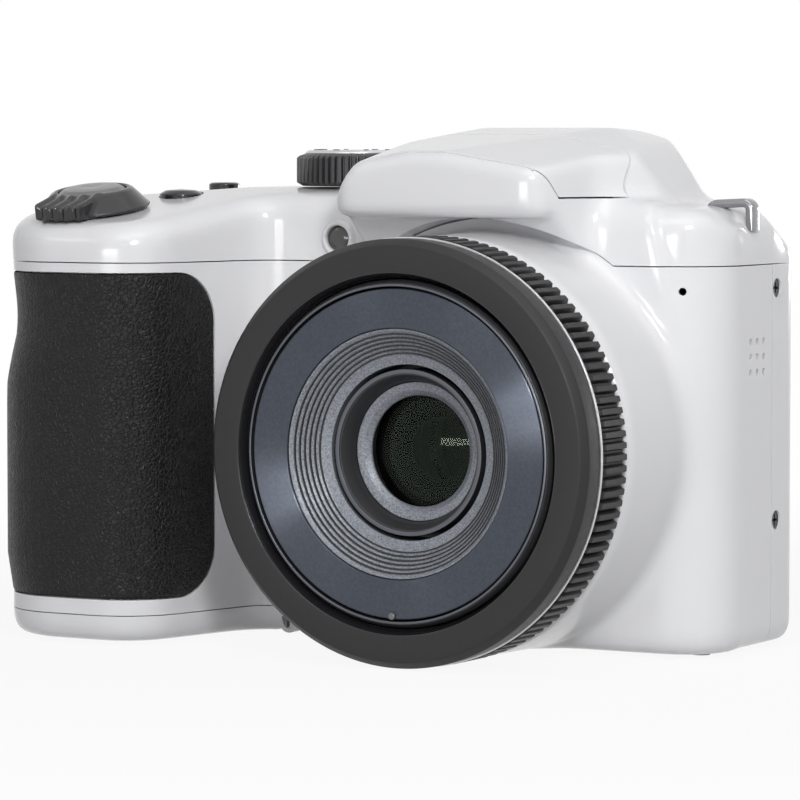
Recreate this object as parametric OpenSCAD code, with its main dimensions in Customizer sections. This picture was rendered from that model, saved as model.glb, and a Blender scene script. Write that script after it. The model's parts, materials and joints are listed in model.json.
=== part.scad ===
// Bridge camera: a moulded body with a battery grip, a retracting zoom lens and a pop-up flash.
// Origin at the mouth of the tripod socket. X runs along the width with the grip on -X,
// Y runs from the lens towards the screen, Z is up. Lengths are in millimetres.

/* [Body] */
// Lens axis to the plain end of the body
body_right = 39; // [38:0.5:46]
// Lens axis to the grip end of the body
body_left = 80.5; // [80:0.5:88]
// Tripod socket to the front plane of the body
front_reach = 16; // [15:0.5:18]
// Tripod socket to the rear plane of the body
rear_reach = 16.7; // [16.2:0.1:20]
// Depth of the rear cover, from the rear plane to its seam
rear_cover_depth = 11.3; // [10:0.1:11.3]
// Wall of the moulded covers
wall = 2; // [1.6:0.1:2.2]
// Height of the seam below the top cover
seam_height = 62; // [58:0.5:66]
// Seam to the deck that carries the dial
deck_rise = 11.9; // [11:0.1:13]
// Seam to the shoulder beside the hump
shoulder_rise = 9.1; // [8.5:0.1:10]
// Height of the pop-up flash over its seam
flash_height = 11.2; // [10.5:0.1:13]
// Gap between neighbouring covers
seam_gap = 0.15; // [0.1:0.05:0.3]

/* [Grip] */
// Front plane to the nose of the grip
grip_reach = 28; // [27:0.5:30]
// Thickness of the textured skin
skin_thickness = 1; // [0.8:0.1:1.2]
// Height of the battery door that closes the grip
door_height = 5; // [4.8:0.1:5.6]
// Diameter of one battery cell
cell_diameter = 14.5; // [14:0.1:14.5]
// Length of one battery cell
cell_length = 50.5; // [49.2:0.1:50.5]

/* [Lens] */
// Base to the lowest rib of the lens ring
ring_lift = 0; // [0:0.1:0.7]
// Front plane to the front of the lens
lens_reach = 33; // [32:0.5:37]
// Radius over the ribs of the lens ring
rib_radius = 33.5; // [31:0.1:35]
// Ribs round the lens ring
rib_count = 116; // [90:1:120]
// Depth of the ribbed lens ring
rib_depth = 9; // [8:0.2:10]
// Width of the lens ring's front face
ring_face = 6.3; // [6:0.1:6.6]
// Travel of each zoom barrel
zoom_travel = 22; // [16:1:22]
// Clear radius of the front glass
glass_radius = 8.65; // [8:0.05:9]
// Teeth of the drive gear
pinion_teeth = 12; // [12:1:14]
// Module of the zoom gears
gear_module = 0.6; // [0.55:0.01:0.65]

/* [Controls] */
// Radius of the mode dial
dial_radius = 9.8; // [8.5:0.1:10]
// Height of the mode dial
dial_height = 6; // [5:0.1:7]
// Radius of the shutter button
shutter_radius = 5.6; // [5:0.1:6]
// Radius of the zoom lever's skirt
lever_radius = 9.3; // [8.8:0.1:9.6]
// Travel of the shutter button
shutter_travel = 1; // [0.6:0.1:1.2]
// Travel of the small buttons
button_travel = 0.4; // [0.3:0.05:0.45]
// Width of the screen window
screen_width = 68; // [62:1:70]
// Height of the screen window
screen_height = 50; // [46:1:51]

/* [Fits] */
// Running clearance of shafts, pins and guide rods
running = 0.05; // [0.03:0.01:0.08]
// Clearance round buttons and sliding tubes
sliding = 0.15; // [0.12:0.01:0.2]
// Gap between an inner piece and the face that it stands on
seat = 0.2; // [0.1:0.05:0.25]
// Radius of the tripod socket
tripod_radius = 3.2; // [3.1:0.05:3.3]
// Depth of the tripod socket
tripod_depth = 5.5; // [4.5:0.5:6]

/* [Hidden] */
$fn = 96;
far = 300;
eps = 0.5;

front_y = -front_reach;
rear_y = rear_reach;
split_y = rear_y - rear_cover_depth;
nose_y = front_y - grip_reach;
lens_front = front_reach + lens_reach;
lens_height = rib_radius + ring_lift;
deck_height = seam_height + deck_rise;
shoulder_height = seam_height + shoulder_rise;

// Plan of the body
nose_x = -50;
root_x = -43;
nose_round = 14;
flank_round = 11;
root_round = 6;
front_round = 10;
rear_round = 4;

// Hump over the lens and the flash in it
brow_front = front_y - 13;
brow_left = -20;
brow_right = 18;
brow_drop = 4.5;
brow_web = 3.7;
hump_left = -22.5;
hump_right = 28;
hump_foot = seam_height - 4;
arch_root = rib_radius + 7;
arch_front = rib_radius + 1.9;
arch_depth = 14;
flash_seam = max(lens_height + arch_front + brow_web, shoulder_height + 1.5);
hump_height = flash_seam + flash_height;
brow_height = hump_height - brow_drop;
flash_gap = 0.25;
flash_front = brow_front + wall + 0.3;
flash_sweep = 12;
flash_pivot_y = front_y + 15;
flash_pivot_z = flash_seam + 0.6;
flash_shell = 1.6;
flash_middle = (brow_left + brow_right)/2;
flash_arm_x = 13;
flash_arm = 2;
flash_hub = 2.6;
flash_pin_radius = 1;
flash_pin_half = flash_arm_x + 2*flash_arm;
flash_lens_depth = 1.6;
flash_lens_height = 4;
flash_unit_depth = 6;

// Batteries, with the card slot and the capacitor in front of them
cell_radius = cell_diameter/2;
cell_pitch = cell_diameter + 0.5;
cell_x = -body_left + wall + 0.6 + cell_radius;
cell_y = rear_y - wall - 1.2 - cell_radius - cell_pitch;
cell_base = door_height + 1;
cell_top = cell_base + cell_length;
cell_middle = [cell_x + cell_pitch/2, cell_y + cell_pitch/2];
holder_plate = 1.2;
contact_plate = 0.4;
holder_under = cell_top + seat*2 + contact_plate;
partition_y = cell_y - cell_radius - 0.5;
partition = 1;
slot_depth = 3.4;
slot_width = 24.5;
slot_height = 28;
slot_front = partition_y - partition - seat - slot_depth;
capacitor_radius = 6;
capacitor_height = 32;

// Battery door, hinged beside the lens
door_edge = root_x + 3.5;
door_pin_z = 2.2;
door_pin_radius = 1;
door_barrel = 2.1;
door_relief = 2.45;
hinge_from = front_y + 4;
hinge_to = split_y - 2.4;
hinge_boss = 1.9;
hinge_ear = 2;
hinge_pin_end = 1.6;
latch_x = -63;
latch_y = nose_y + 13;
latch_length = 10;
latch_width = 6;
latch_travel = 3;
latch_skin = 1.1;

// Tripod socket in its boss
socket_radius = tripod_radius + 1.6;
socket_boss = socket_radius + wall/3;
socket_cap = 1;

// Lens stack: radii from the tube inwards, distances forward of the tripod axis
tube_bore = rib_radius - ring_face;
tube_radius = tube_bore + 1.4;
barrel_wall = 1;
barrel_gap = 2*sliding;
outer_barrel = tube_bore - barrel_gap;
inner_barrel = outer_barrel - barrel_wall - barrel_gap;
inner_bore = inner_barrel - barrel_wall;
name_depth = 5;
accent_depth = 0.5;
name_radius = rib_radius - 0.3;
rib_height = 1.1;
rib_front = lens_front - name_depth - accent_depth;
rib_back = rib_front - rib_depth;
boss_bore = tube_radius + 0.5;
boss_radius = rib_radius - 0.7;
boss_root = rib_radius - 0.1;
collar_depth = 10;
base_plate = 2;
tube_back = socket_boss + base_plate + 0.3;
base_radius = tube_radius + 1.4;
barrel_front = lens_front - 0.5;
barrel_overlap = 13.5;
barrel_back = max(tube_back + seat, rib_front - zoom_travel - barrel_overlap);
cell_tube = glass_radius + 4.25;
disc_bore = cell_tube + 0.5556*(inner_bore - cell_tube);
disc_plate = 1.4;
baffle_depth = 4.2;
baffle_foot = cell_tube + 0.1453*(inner_bore - cell_tube);
baffle_steps = 6;
baffle_flange = 1.3;
cell_tube_front = lens_front - 4.6;
glass_front = lens_front - 8.4;
glass_edge = glass_radius + 2.2;
glass_depth = 4;
rod_radius = 1;
rod_offset = 17;
focus_back = tube_back + 3;
focus_depth = 3.5;
focus_travel = 2;
focus_bore = 6;
variator_back = focus_back + focus_depth + focus_travel + 2.5;
variator_depth = 6;
variator_travel = 5.5;
variator_bore = 8;
rod_front = variator_back + variator_depth + variator_travel + 1.5;
cam_wall = 2;
cam_teeth = round(2*(tube_radius + cam_wall)/gear_module);
cam_radius = gear_module*cam_teeth/2;
pinion_radius = gear_module*pinion_teeth/2;
tooth_foot = 1.25*gear_module;
gear_width = 3.5;
gear_back = tube_back + 1.5;
gear_angle = round(0.539*cam_teeth)*360/cam_teeth;
gear_reach = cam_radius + pinion_radius;
pinion_x = gear_reach*cos(gear_angle);
pinion_z = lens_height + gear_reach*sin(gear_angle);
pinion_shaft = 0.8;
motor_radius = 4;
motor_depth = 6.5;

// Boards and screen, from the rear wall forwards
screen_x = -3;
screen_z = 0.54*seam_height;
screen_depth = 3.4;
screen_back = rear_y - wall - seat;
chip_depth = 1.2;
board_depth = 1.2;
board_back = screen_back - screen_depth - seat - chip_depth;
frame_depth = 1;
frame_back = board_back - board_depth - seat;
frame_front = frame_back - frame_depth;
frame_left = -27.5;
frame_right = body_right - wall - 0.6;
frame_low = 8;
frame_high = seam_height - 2.5;
post_radius = 2.2;
posts = [[frame_right - 2, frame_low + 2.2], [frame_right - 2, frame_high - 2.5],
    [frame_left + 2, frame_low + 1.5]];
chips = [[-12, 40, 9], [6, 44, 6], [18, 26, 7], [-10, 20, 5]];
sensor_depth = 1.2;
sensor_half = [4.4, 3.6];
sensor_board_half = [13, 11];
standoff_angles = [45, 135, 225, 315];
standoff_offset = 25;

// Top controls
shutter_x = -66.5;
shutter_y = nose_y + 13;
slope_start = -8;
deck_slope = 9.5;
shutter_z = deck_height + (shutter_y - slope_start)*tan(deck_slope);
lever_height = 3.4;
lever_stand = 0.3;
lever_floor = 0.4;
lever_rim = 0.9;
lever_tab = 11.6;
lever_tab_half = 4.6;
lever_neck = shutter_radius - 1;
stem_radius = shutter_radius - 2;
shutter_height = 3.2;
dial_x = -33.5;
dial_y = -2;
dial_flutes = 44;
dial_shaft = 2;
dial_cap = 0.5;
power_x = -59;
power_y = front_y;
power_z = deck_height + (power_y - slope_start)*tan(deck_slope);
power_radius = 3.6;
function_x = -61;
function_y = 1;
function_radius = 2.6;
lamp_radius = 2;
lamp_z = seam_height + 4.2;
lamp_x = -sqrt(pow(arch_root + 3, 2) - pow(lamp_z - lens_height, 2));

// Side and rear details
speaker_y = -0.3;
speaker_z = seam_height - 14.6;
speaker_pitch = 2.45;
speaker_hole = 0.55;
speaker_radius = 6;
speaker_depth = 3;
mic_z = seam_height - 3.9;
mic_angle = -60;
mic_radius = 0.6;
screw_y = split_y + 1.8;
screw_levels = [20.8, seam_height - 3.9];
screw_head = 1.5;
screw_sink = 0.3;
screw_cap = 1.1;
screw_slot = 0.9;
screw_shank = 0.9;
screw_length = wall;
base_screws = [[33, -8], [33, 10.5], [-32, 10.5]];
lug_width = 2.6;
lug_bar = 1.2;
lug_drop = 7;
lug_reach = 7.5;
lug_y = -1;
lug_stand = 0.6;
pad_x = -62;
pad_z = 30;
pad_radius = 9;
ok_radius = 3.8;
key_radius = 2.6;
record_key = [-47, seam_height - 6.5];
menu_keys = [[-50, seam_height - 16], [-71, 14.5], [-53, 14.5]];
key_flange = 0.6;
key_stand = button_travel + 0.3;

// Closed outlines, counter-clockwise, as points with a corner radius
function unit(v) = v/norm(v);
function corner(a, p, b, r, steps = 6) =
    let (u = unit(a - p), v = unit(b - p), half = acos(u*v)/2, c = p + unit(u + v)*r/sin(half),
         s = p + u*r/tan(half) - c, e = p + v*r/tan(half) - c, from = atan2(s.y, s.x),
         turn = (atan2(e.y, e.x) - from + 540) % 360 - 180)
    [for (i = [0:steps]) c + r*[cos(from + turn*i/steps), sin(from + turn*i/steps)]];
function flat(p) = [p.x, p.y];
function before(points, i) = flat(points[(i + len(points) - 1) % len(points)]);
function after(points, i) = flat(points[(i + 1) % len(points)]);
function rounded(points) = [for (i = [0:len(points)-1]) each points[i].z > 0
    ? corner(before(points, i), flat(points[i]), after(points, i), points[i].z) : [flat(points[i])]];
function left_of(d) = [-d.y, d.x];
// The same outline drawn in by a distance, with its corner radii to match
function drawn_in(points, d) = [for (i = [0:len(points)-1])
    let (p = flat(points[i]), r = points[i].z, u = unit(p - before(points, i)),
         v = unit(after(points, i) - p), m = left_of(u), n = left_of(v),
         q = p + d*(m + n)/(1 + m*n), convex = u.x*v.y - u.y*v.x > 0)
    [q.x, q.y, r == 0 ? 0 : convex ? max(r - d, 0) : r + d]];
// A wheel with straight-sided teeth
function toothed(count, foot, tip, foot_share, tip_share) =
    [for (i = [0:count-1], side = [-1, 1]) let (step = 360/count, at_foot = step*(i + side*foot_share/2),
        at_tip = step*(i + side*tip_share/2), low = foot*[cos(at_foot), sin(at_foot)],
        high = tip*[cos(at_tip), sin(at_tip)]) each side < 0 ? [low, high] : [high, low]];

body_plan = [[body_right, front_y, front_round], [body_right, rear_y, rear_round],
    [-body_left, rear_y, rear_round + 2], [-body_left, nose_y, nose_round],
    [nose_x, nose_y, flank_round], [root_x, front_y, root_round]];
body_from_front = [[-body_left, 0, 3], [body_right, 0, 4], [body_right, shoulder_height, 8],
    [hump_right - 4, shoulder_height + 0.6, 0], [hump_left + 4, deck_height, 0], [nose_x, deck_height, 0],
    [shutter_x - 2, deck_height - 1.4, 6], [-body_left, deck_height - 4, 7]];
body_from_side = [[nose_y, 0, 3], [rear_y, 0, 3], [rear_y, deck_height, 5], [slope_start, deck_height, 0],
    [nose_y, deck_height + (nose_y - slope_start)*tan(deck_slope), 6]];
hump_plan = [[brow_left, brow_front, 8], [brow_right, brow_front, 8], [brow_right + 4, front_y + 2, 0],
    [hump_right, front_y + 13, 0], [hump_right, rear_y - 0.6, 4], [hump_left, rear_y - 0.6, 4],
    [hump_left, front_y + 2, 0]];
hump_from_front = [[hump_left, hump_foot, 0], [hump_right, hump_foot, 0],
    [hump_right, shoulder_height + 1.5, 0], [22, hump_height - 3, 6], [13, hump_height, 6],
    [-11, hump_height, 5], [hump_left + 5, hump_height - 2.8, 6], [hump_left, deck_height - 0.6, 0]];
hump_from_side = [[brow_front, hump_foot, 0], [rear_y - 0.6, hump_foot, 0],
    [rear_y - 0.6, deck_height - 2, 0], [rear_y - 7, hump_height - 0.6, 5], [0, hump_height, 10],
    [brow_front, brow_height, 3]];

module along_x(from, to) {
    translate([from, 0, 0]) rotate([90, 0, 90]) linear_extrude(to - from) children();
}
module along_y(from, to) {
    translate([0, to, 0]) rotate([90, 0, 0]) linear_extrude(to - from) children();
}
module box(low, high) {
    translate(low) cube(high - low);
}
module rod_x(r, from, to) {
    translate([from, 0, 0]) rotate([0, 90, 0]) cylinder(r = r, h = to - from);
}
module rod_y(r, from, to) {
    translate([0, from, 0]) rotate([-90, 0, 0]) cylinder(r = r, h = to - from);
}
// Children drawn about the lens axis, with their own Z forwards
module lens_axis() {
    translate([0, 0, lens_height]) rotate([90, 0, 0]) children();
}
module ring(outer, inner, from, to) {
    translate([0, 0, from]) difference() {
        cylinder(r = outer, h = to - from);
        translate([0, 0, -eps]) cylinder(r = inner, h = to - from + 2*eps);
    }
}
module on_grip_top() {
    translate([shutter_x, shutter_y, shutter_z]) rotate([deck_slope, 0, 0]) children();
}

// Outer forms of the body and of the hump, drawn in by a wall
module body_form(inset) {
    intersection() {
        translate([0, 0, -far/2]) linear_extrude(far) polygon(rounded(drawn_in(body_plan, inset)));
        along_y(-far, far) polygon(rounded(drawn_in(body_from_front, inset)));
        along_x(-far, far) polygon(rounded(drawn_in(body_from_side, inset)));
    }
}
module hump_form(inset) {
    intersection() {
        translate([0, 0, -far/2]) linear_extrude(far) polygon(rounded(drawn_in(hump_plan, inset)));
        along_y(-far, far) polygon(rounded(drawn_in(hump_from_front, inset)));
        along_x(-far, far) polygon(rounded(drawn_in(hump_from_side, inset)));
    }
}
// Hollow of the arch that the top cover makes over the lens
module arch(grow) {
    lens_axis() translate([0, 0, front_reach - wall - eps])
        cylinder(r1 = arch_root + grow, r2 = arch_front + grow, h = arch_depth);
    lens_axis() translate([0, 0, front_reach - wall - eps + arch_depth - running])
        cylinder(r = arch_front + grow, h = far);
}
// Room of the flash: over its seam, behind the brow and outside the sweep round its pin
module flash_room(inset) {
    difference() {
        box([hump_left - eps, flash_front + inset, flash_seam + inset], [far, flash_pivot_y - eps, far]);
        flash_axis() rod_x(flash_sweep + inset, -far, far);
    }
}
module flash_axis() {
    translate([0, flash_pivot_y, flash_pivot_z]) children();
}
// Field of the textured skin on the grip
module skin_room(grow) {
    intersection() {
        along_y(-far, far) polygon(rounded(drawn_in([[-far, door_height + 2, 0],
            [nose_x + 4, door_height + 2, 10], [nose_x + 4, seam_height - 1.7, 10],
            [-far, seam_height - 1.7, 0]], -grow)));
        box([-far, -far, -far], [far, split_y - 1 + grow, far]);
    }
}
module door_axis() {
    translate([door_edge, 0, door_pin_z]) children();
}
// Ears of the front cover that hold the pin of the battery door
module hinge_ears() {
    for (y = [hinge_from - hinge_ear, hinge_to]) {
        rod_y(hinge_boss, y, y + hinge_ear);
        box([0, y, -1], [2*hinge_ear, y + hinge_ear, hinge_boss]);
    }
}
// A strap lug on the right shoulder, an angle of flat bar over the rounded edge
module lug(grow) {
    outer = body_right + lug_stand;
    high = shoulder_height + lug_stand;
    translate([0, lug_y, 0]) {
        box([outer - lug_reach - grow, -lug_width/2 - grow, high - lug_bar - grow],
            [outer + grow, lug_width/2 + grow, high + grow]);
        box([outer - lug_bar - grow, -lug_width/2 - grow, high - lug_drop - grow],
            [outer + grow, lug_width/2 + grow, high + grow]);
    }
}
module both_lugs(grow) {
    lug(grow);
    translate([body_right - body_left, 0, deck_height - 4 - shoulder_height]) mirror([1, 0, 0])
        lug(grow);
}
// A flat-headed screw with its head at the origin, pointing down
module screw() {
    difference() {
        union() {
            translate([0, 0, -screw_cap]) cylinder(r = screw_head, h = screw_cap);
            translate([0, 0, -screw_length]) cylinder(r = screw_shank, h = screw_length);
        }
        for (a = [0, 90])
            rotate([0, 0, a]) box([-screw_slot, -0.22, -screw_cap/2], [screw_slot, 0.22, 1]);
    }
}
module screw_hole() {
    translate([0, 0, -screw_cap - running]) cylinder(r = screw_head + running, h = screw_cap + wall);
    translate([0, 0, -screw_length - eps]) cylinder(r = screw_shank + running, h = screw_length + wall);
}
module at_screws() {
    for (z = screw_levels) {
        translate([body_right - screw_sink, screw_y, z]) rotate([0, 90, 0]) children();
        translate([-body_left + screw_sink, screw_y, z]) rotate([0, -90, 0]) children();
    }
    for (p = base_screws)
        translate([p.x, p.y, screw_sink]) rotate([180, 0, 0]) children();
}
// A rear key: a cap through the rear wall with a flange behind it
module key(r, stand = key_stand) {
    rod_y(r, rear_y - wall - key_flange, rear_y + stand);
    rod_y(r + 0.6, rear_y - wall - key_flange - running, rear_y - wall - running);
}

// Covers
module front_cover() {
    color("white") difference() {
        union() {
            intersection() {
                difference() {
                    body_form(0);
                    body_form(wall);
                }
                box([-far, -far, -far], [far, split_y - seam_gap/2, seam_height - seam_gap/2]);
            }
            lens_axis() translate([0, 0, front_reach - wall])
                cylinder(r1 = boss_root, r2 = boss_radius, h = rib_back - seam_gap - front_reach + wall);
            intersection() {
                lens_axis() translate([0, 0, front_reach - wall])
                    cylinder(r1 = arch_root - eps, r2 = boss_radius, h = collar_depth);
                box([-far, -far, seam_height - eps], [far, far, flash_seam - eps]);
            }
            intersection() {
                for (p = posts)
                    translate([p.x, 0, p.y]) rod_y(post_radius, front_y, frame_front - running);
                body_form(wall/2);
            }
            translate([0, 0, wall/2]) cylinder(r = socket_boss, h = tripod_depth + wall/2);
            door_axis() hinge_ears();
        }
        lens_axis() translate([0, 0, -far]) cylinder(r = boss_radius - wall, h = far + rib_back - wall);
        lens_axis() cylinder(r = boss_bore, h = far);
        difference() {
            box([-far, -far, -far], [door_edge, far, door_height + seam_gap]);
            door_axis() hinge_ears();
        }
        door_axis() difference() {
            union() {
                rod_y(door_relief, -far, far);
                box([0, -far, -far], [door_relief, far, 0]);
            }
            hinge_ears();
        }
        door_axis() rod_y(door_pin_radius, hinge_from - hinge_pin_end, hinge_to + hinge_pin_end);
        intersection() {
            difference() {
                body_form(-1);
                body_form(skin_thickness + running);
            }
            skin_room(running);
        }
        translate([0, 0, -eps]) cylinder(r = socket_radius + running, h = tripod_depth + wall);
        translate([body_right - front_round, front_y + front_round, mic_z]) rotate([0, 0, mic_angle])
            rod_x(mic_radius, front_round - wall - 1, front_round + 2);
        for (i = [-1:1], k = [-1:1])
            translate([0, speaker_y + i*speaker_pitch, speaker_z + k*speaker_pitch])
                rod_x(speaker_hole, body_right - wall - 1, body_right + 2);
        at_screws() screw_hole();
    }
}
module rear_cover() {
    color("whitesmoke") difference() {
        intersection() {
            difference() {
                body_form(0);
                body_form(wall);
            }
            box([-far, split_y + seam_gap/2, -far], [far, far, seam_height - seam_gap/2]);
        }
        box([-far, -far, -far], [door_edge, far, door_height + seam_gap]);
        door_axis() rod_y(door_relief, -far, far);
        door_axis() box([0, -far, -far], [door_relief, far, 0]);
        screen_opening(sliding);
        for (at = concat([record_key], menu_keys))
            translate([at.x, 0, at.y]) rod_y(key_radius + sliding, 0, far);
        translate([pad_x, 0, pad_z]) rod_y(pad_radius + sliding, 0, far);
        at_screws() screw_hole();
    }
}
module top_cover() {
    color("white") difference() {
        union() {
            difference() {
                union() {
                    body_form(0);
                    hump_form(0);
                }
                body_form(wall);
                hump_form(wall);
                flash_room(0);
            }
            intersection() {
                hump_form(0);
                arch(wall);
                box([-far, -far, seam_height], [far, front_y + wall, flash_seam]);
            }
            intersection() {
                for (side = [-1, 1])
                    translate([flash_middle + side*(flash_arm_x + flash_arm + 1), flash_pivot_y, 0])
                        box([-flash_arm/2, -2.5, flash_pivot_z - 2.5], [flash_arm/2, 2.5, far]);
                hump_form(wall/2);
            }
        }
        box([-far, -far, -far], [far, far, seam_height + seam_gap/2]);
        arch(0);
        flash_axis() rod_x(flash_pin_radius, flash_middle - flash_pin_half, flash_middle + flash_pin_half);
        on_grip_top() translate([0, 0, -10]) cylinder(r = lever_neck + running, h = 20);
        translate([dial_x, dial_y, 0]) cylinder(r = dial_shaft + running, h = far);
        translate([power_x, power_y, 0]) cylinder(r = power_radius + sliding, h = far);
        translate([function_x, function_y, 0]) cylinder(r = function_radius + sliding, h = far);
        translate([lamp_x, 0, lamp_z]) rod_y(lamp_radius + running, front_y - 3, front_y + wall + 1);
        both_lugs(running);
    }
}
module grip_skin() {
    color("dimgray") intersection() {
        difference() {
            body_form(0);
            body_form(skin_thickness);
        }
        skin_room(0);
    }
}

// Battery compartment
module battery_door() {
    color("white") difference() {
        union() {
            difference() {
                intersection() {
                    body_form(0);
                    box([-far, -far, -far], [door_edge, far, door_height]);
                }
                body_form(wall);
            }
            intersection() {
                door_axis() rod_y(door_barrel, -far, far);
                body_form(0);
            }
        }
        for (y = [hinge_from - hinge_ear, hinge_to])
            box([door_edge - door_relief - 0.3, y - 0.3, -far], [far, y + hinge_ear + 0.3, far]);
        door_axis() rod_y(door_pin_radius + running, hinge_from - eps, hinge_to + eps);
        translate([latch_x, latch_y, 0]) {
            box([-latch_width/2 - sliding, -sliding, -eps],
                [latch_width/2 + sliding, latch_length + latch_travel + sliding, latch_skin + 0.2]);
            box([-1 - sliding, 2 - sliding, -eps], [1 + sliding, 5 + latch_travel + sliding, far]);
        }
    }
}
module battery_door_pin() {
    color("silver") door_axis()
        rod_y(door_pin_radius, hinge_from - hinge_pin_end, hinge_to + hinge_pin_end);
}
module battery_door_latch() {
    color("lightgray") translate([latch_x, latch_y, 0]) {
        difference() {
            box([-latch_width/2, 0, 0.1], [latch_width/2, latch_length, latch_skin]);
            for (i = [0:3])
                box([-latch_width/2 + 1, 2 + i*2 - 0.4, -eps], [latch_width/2 - 1, 2 + i*2 + 0.4, 0.5]);
        }
        box([-1, 2, latch_skin - 0.1], [1, 5, wall + 0.5]);
        box([-2.4, 1, wall + 0.3], [2.4, 6, wall + 1.3]);
    }
}
module battery_door_contacts() {
    color("gold") for (k = [0, 1]) translate([cell_middle.x, cell_y + k*cell_pitch, wall]) {
        box([-cell_pitch/2 - 5, -4, 0], [cell_pitch/2 + 5, 4, contact_plate]);
        for (side = [-1, 1])
            translate([side*cell_pitch/2, 0, contact_plate/2])
                cylinder(r1 = 3.4, r2 = 2, h = cell_base - wall - seat - contact_plate/2);
    }
}
module battery_cells() {
    color("slategray") for (i = [0, 1], k = [0, 1])
        translate([cell_x + i*cell_pitch, cell_y + k*cell_pitch, cell_base]) {
            cylinder(r = cell_radius, h = cell_length - 1);
            cylinder(r = 2.7, h = cell_length);
        }
}
module battery_holder() {
    left = cell_x - cell_radius;
    right = cell_x + cell_pitch + cell_radius;
    back = cell_y + cell_pitch + cell_radius;
    high = holder_under + holder_plate;
    post = cell_pitch*0.7 - cell_radius - eps;
    color("dimgray") intersection() {
        union() {
            box([left, partition_y - partition, holder_under], [right, back, high]);
            box([left, partition_y - partition, cell_base], [right, partition_y, high]);
            translate([cell_middle.x, cell_middle.y, cell_base])
                cylinder(r = post, h = holder_under - cell_base + holder_plate/2);
        }
        body_form(wall + seat);
    }
}
module battery_contacts() {
    color("gold") for (i = [0, 1])
        translate([cell_x + i*cell_pitch, cell_middle.y, holder_under - contact_plate - running])
            difference() {
                box([-4, -cell_pitch/2 - 5, 0], [4, cell_pitch/2 + 5, contact_plate]);
                translate([(0.5 - i)*cell_pitch, 0, -eps]) cylinder(r = 5, h = 2);
            }
}
module card_slot() {
    color("silver") difference() {
        box([cell_middle.x - slot_width/2 - 1, slot_front, cell_base],
            [cell_middle.x + slot_width/2 + 1, slot_front + slot_depth, cell_base + slot_height]);
        box([cell_middle.x - slot_width/2, slot_front + 0.6, 0],
            [cell_middle.x + slot_width/2, slot_front + 2.9, cell_base + slot_height - 1]);
    }
}
module flash_capacitor() {
    color("black") translate([cell_middle.x, slot_front - seat - capacitor_radius, cell_base + 2]) {
        cylinder(r = capacitor_radius, h = capacitor_height);
        translate([0, 0, capacitor_height]) ring(capacitor_radius - 0.5, capacitor_radius - 1.5, -0.1, 0.4);
    }
}
module tripod_socket() {
    color("silver") difference() {
        cylinder(r = socket_radius, h = tripod_depth + socket_cap);
        translate([0, 0, -eps]) cylinder(r = tripod_radius, h = tripod_depth + eps);
    }
}

// Lens
module lens_tube() {
    color("black") lens_axis() difference() {
        ring(tube_radius, tube_bore, tube_back, rib_front + accent_depth);
        for (a = [60, 180, 300])
            rotate([0, 0, a]) box([0, -1, 12], [far, 1, 20]);
    }
}
module lens_base() {
    color("black") lens_axis() difference() {
        union() {
            translate([0, 0, tube_back - base_plate]) cylinder(r = base_radius, h = base_plate);
            rotate([0, 0, gear_angle]) translate([gear_reach, 0, tube_back - base_plate])
                cylinder(r = motor_radius + 0.8, h = base_plate);
            rotate([0, 0, gear_angle])
                box([base_radius - 4, -3.5, tube_back - base_plate], [gear_reach, 3.5, tube_back]);
        }
        box([-sensor_half.x - eps, -sensor_half.y - eps, -far],
            [sensor_half.x + eps, sensor_half.y + eps, far]);
        for (a = [90, 270])
            rotate([0, 0, a]) translate([rod_offset, 0, -far]) cylinder(r = rod_radius, h = 2*far);
        rotate([0, 0, gear_angle]) translate([gear_reach, 0, -far])
            cylinder(r = pinion_shaft + running, h = 2*far);
    }
}
module lens_name_ring() {
    color("black") lens_axis() rotate_extrude() polygon([[tube_bore, lens_front - name_depth],
        [name_radius, lens_front - name_depth], [name_radius, lens_front - 1.2],
        [name_radius - 0.9, lens_front], [tube_bore + 0.6, lens_front], [tube_bore, lens_front - 1.6]]);
}
module lens_accent_ring() {
    color("silver") lens_axis()
        ring(name_radius + 0.1, tube_radius + running, rib_front, rib_front + accent_depth);
}
module lens_rib_ring() {
    color("black") lens_axis() translate([0, 0, rib_back]) difference() {
        linear_extrude(rib_depth)
            polygon(toothed(rib_count, rib_radius - rib_height, rib_radius, 0.75, 0.4));
        translate([0, 0, -eps]) cylinder(r = tube_radius + running, h = far);
    }
}
module zoom_barrel_outer() {
    color("dimgray") lens_axis() ring(outer_barrel, outer_barrel - barrel_wall, barrel_back, barrel_front);
}
module zoom_barrel_inner() {
    color("dimgray") lens_axis() {
        ring(inner_barrel, inner_bore, barrel_back + 2, barrel_front - 0.3);
        ring(inner_barrel, disc_bore, barrel_front - 0.3 - disc_plate, barrel_front - 0.3);
    }
}
module lens_baffle() {
    step = (disc_bore - running - baffle_foot)/baffle_steps;
    drop = baffle_depth/baffle_steps;
    top = barrel_front - seat;
    foot = top - baffle_depth - 2*baffle_flange;
    color("gray") lens_axis() {
        for (i = [0:baffle_steps-1])
            ring(disc_bore - running - i*step, baffle_foot - 0.6, foot + baffle_flange, top - i*drop - 0.4);
        for (i = [0:baffle_steps-1])
            ring(disc_bore - running - i*step, disc_bore - running - i*step - 0.35, foot + 1, top - i*drop);
        ring(inner_bore - seat, baffle_foot - 0.6, foot, foot + baffle_flange);
    }
}
module front_lens_cell() {
    back = glass_front - glass_depth;
    under_baffle = barrel_front - baffle_depth - 2*baffle_flange - seat - running;
    color("black") lens_axis() {
        ring(cell_tube, glass_edge + running, back, cell_tube_front);
        ring(baffle_foot + 1.4, glass_edge - 1, back - 1, back);
        ring(baffle_foot + 1.4, cell_tube + 1, back - 1, under_baffle);
    }
}
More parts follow.
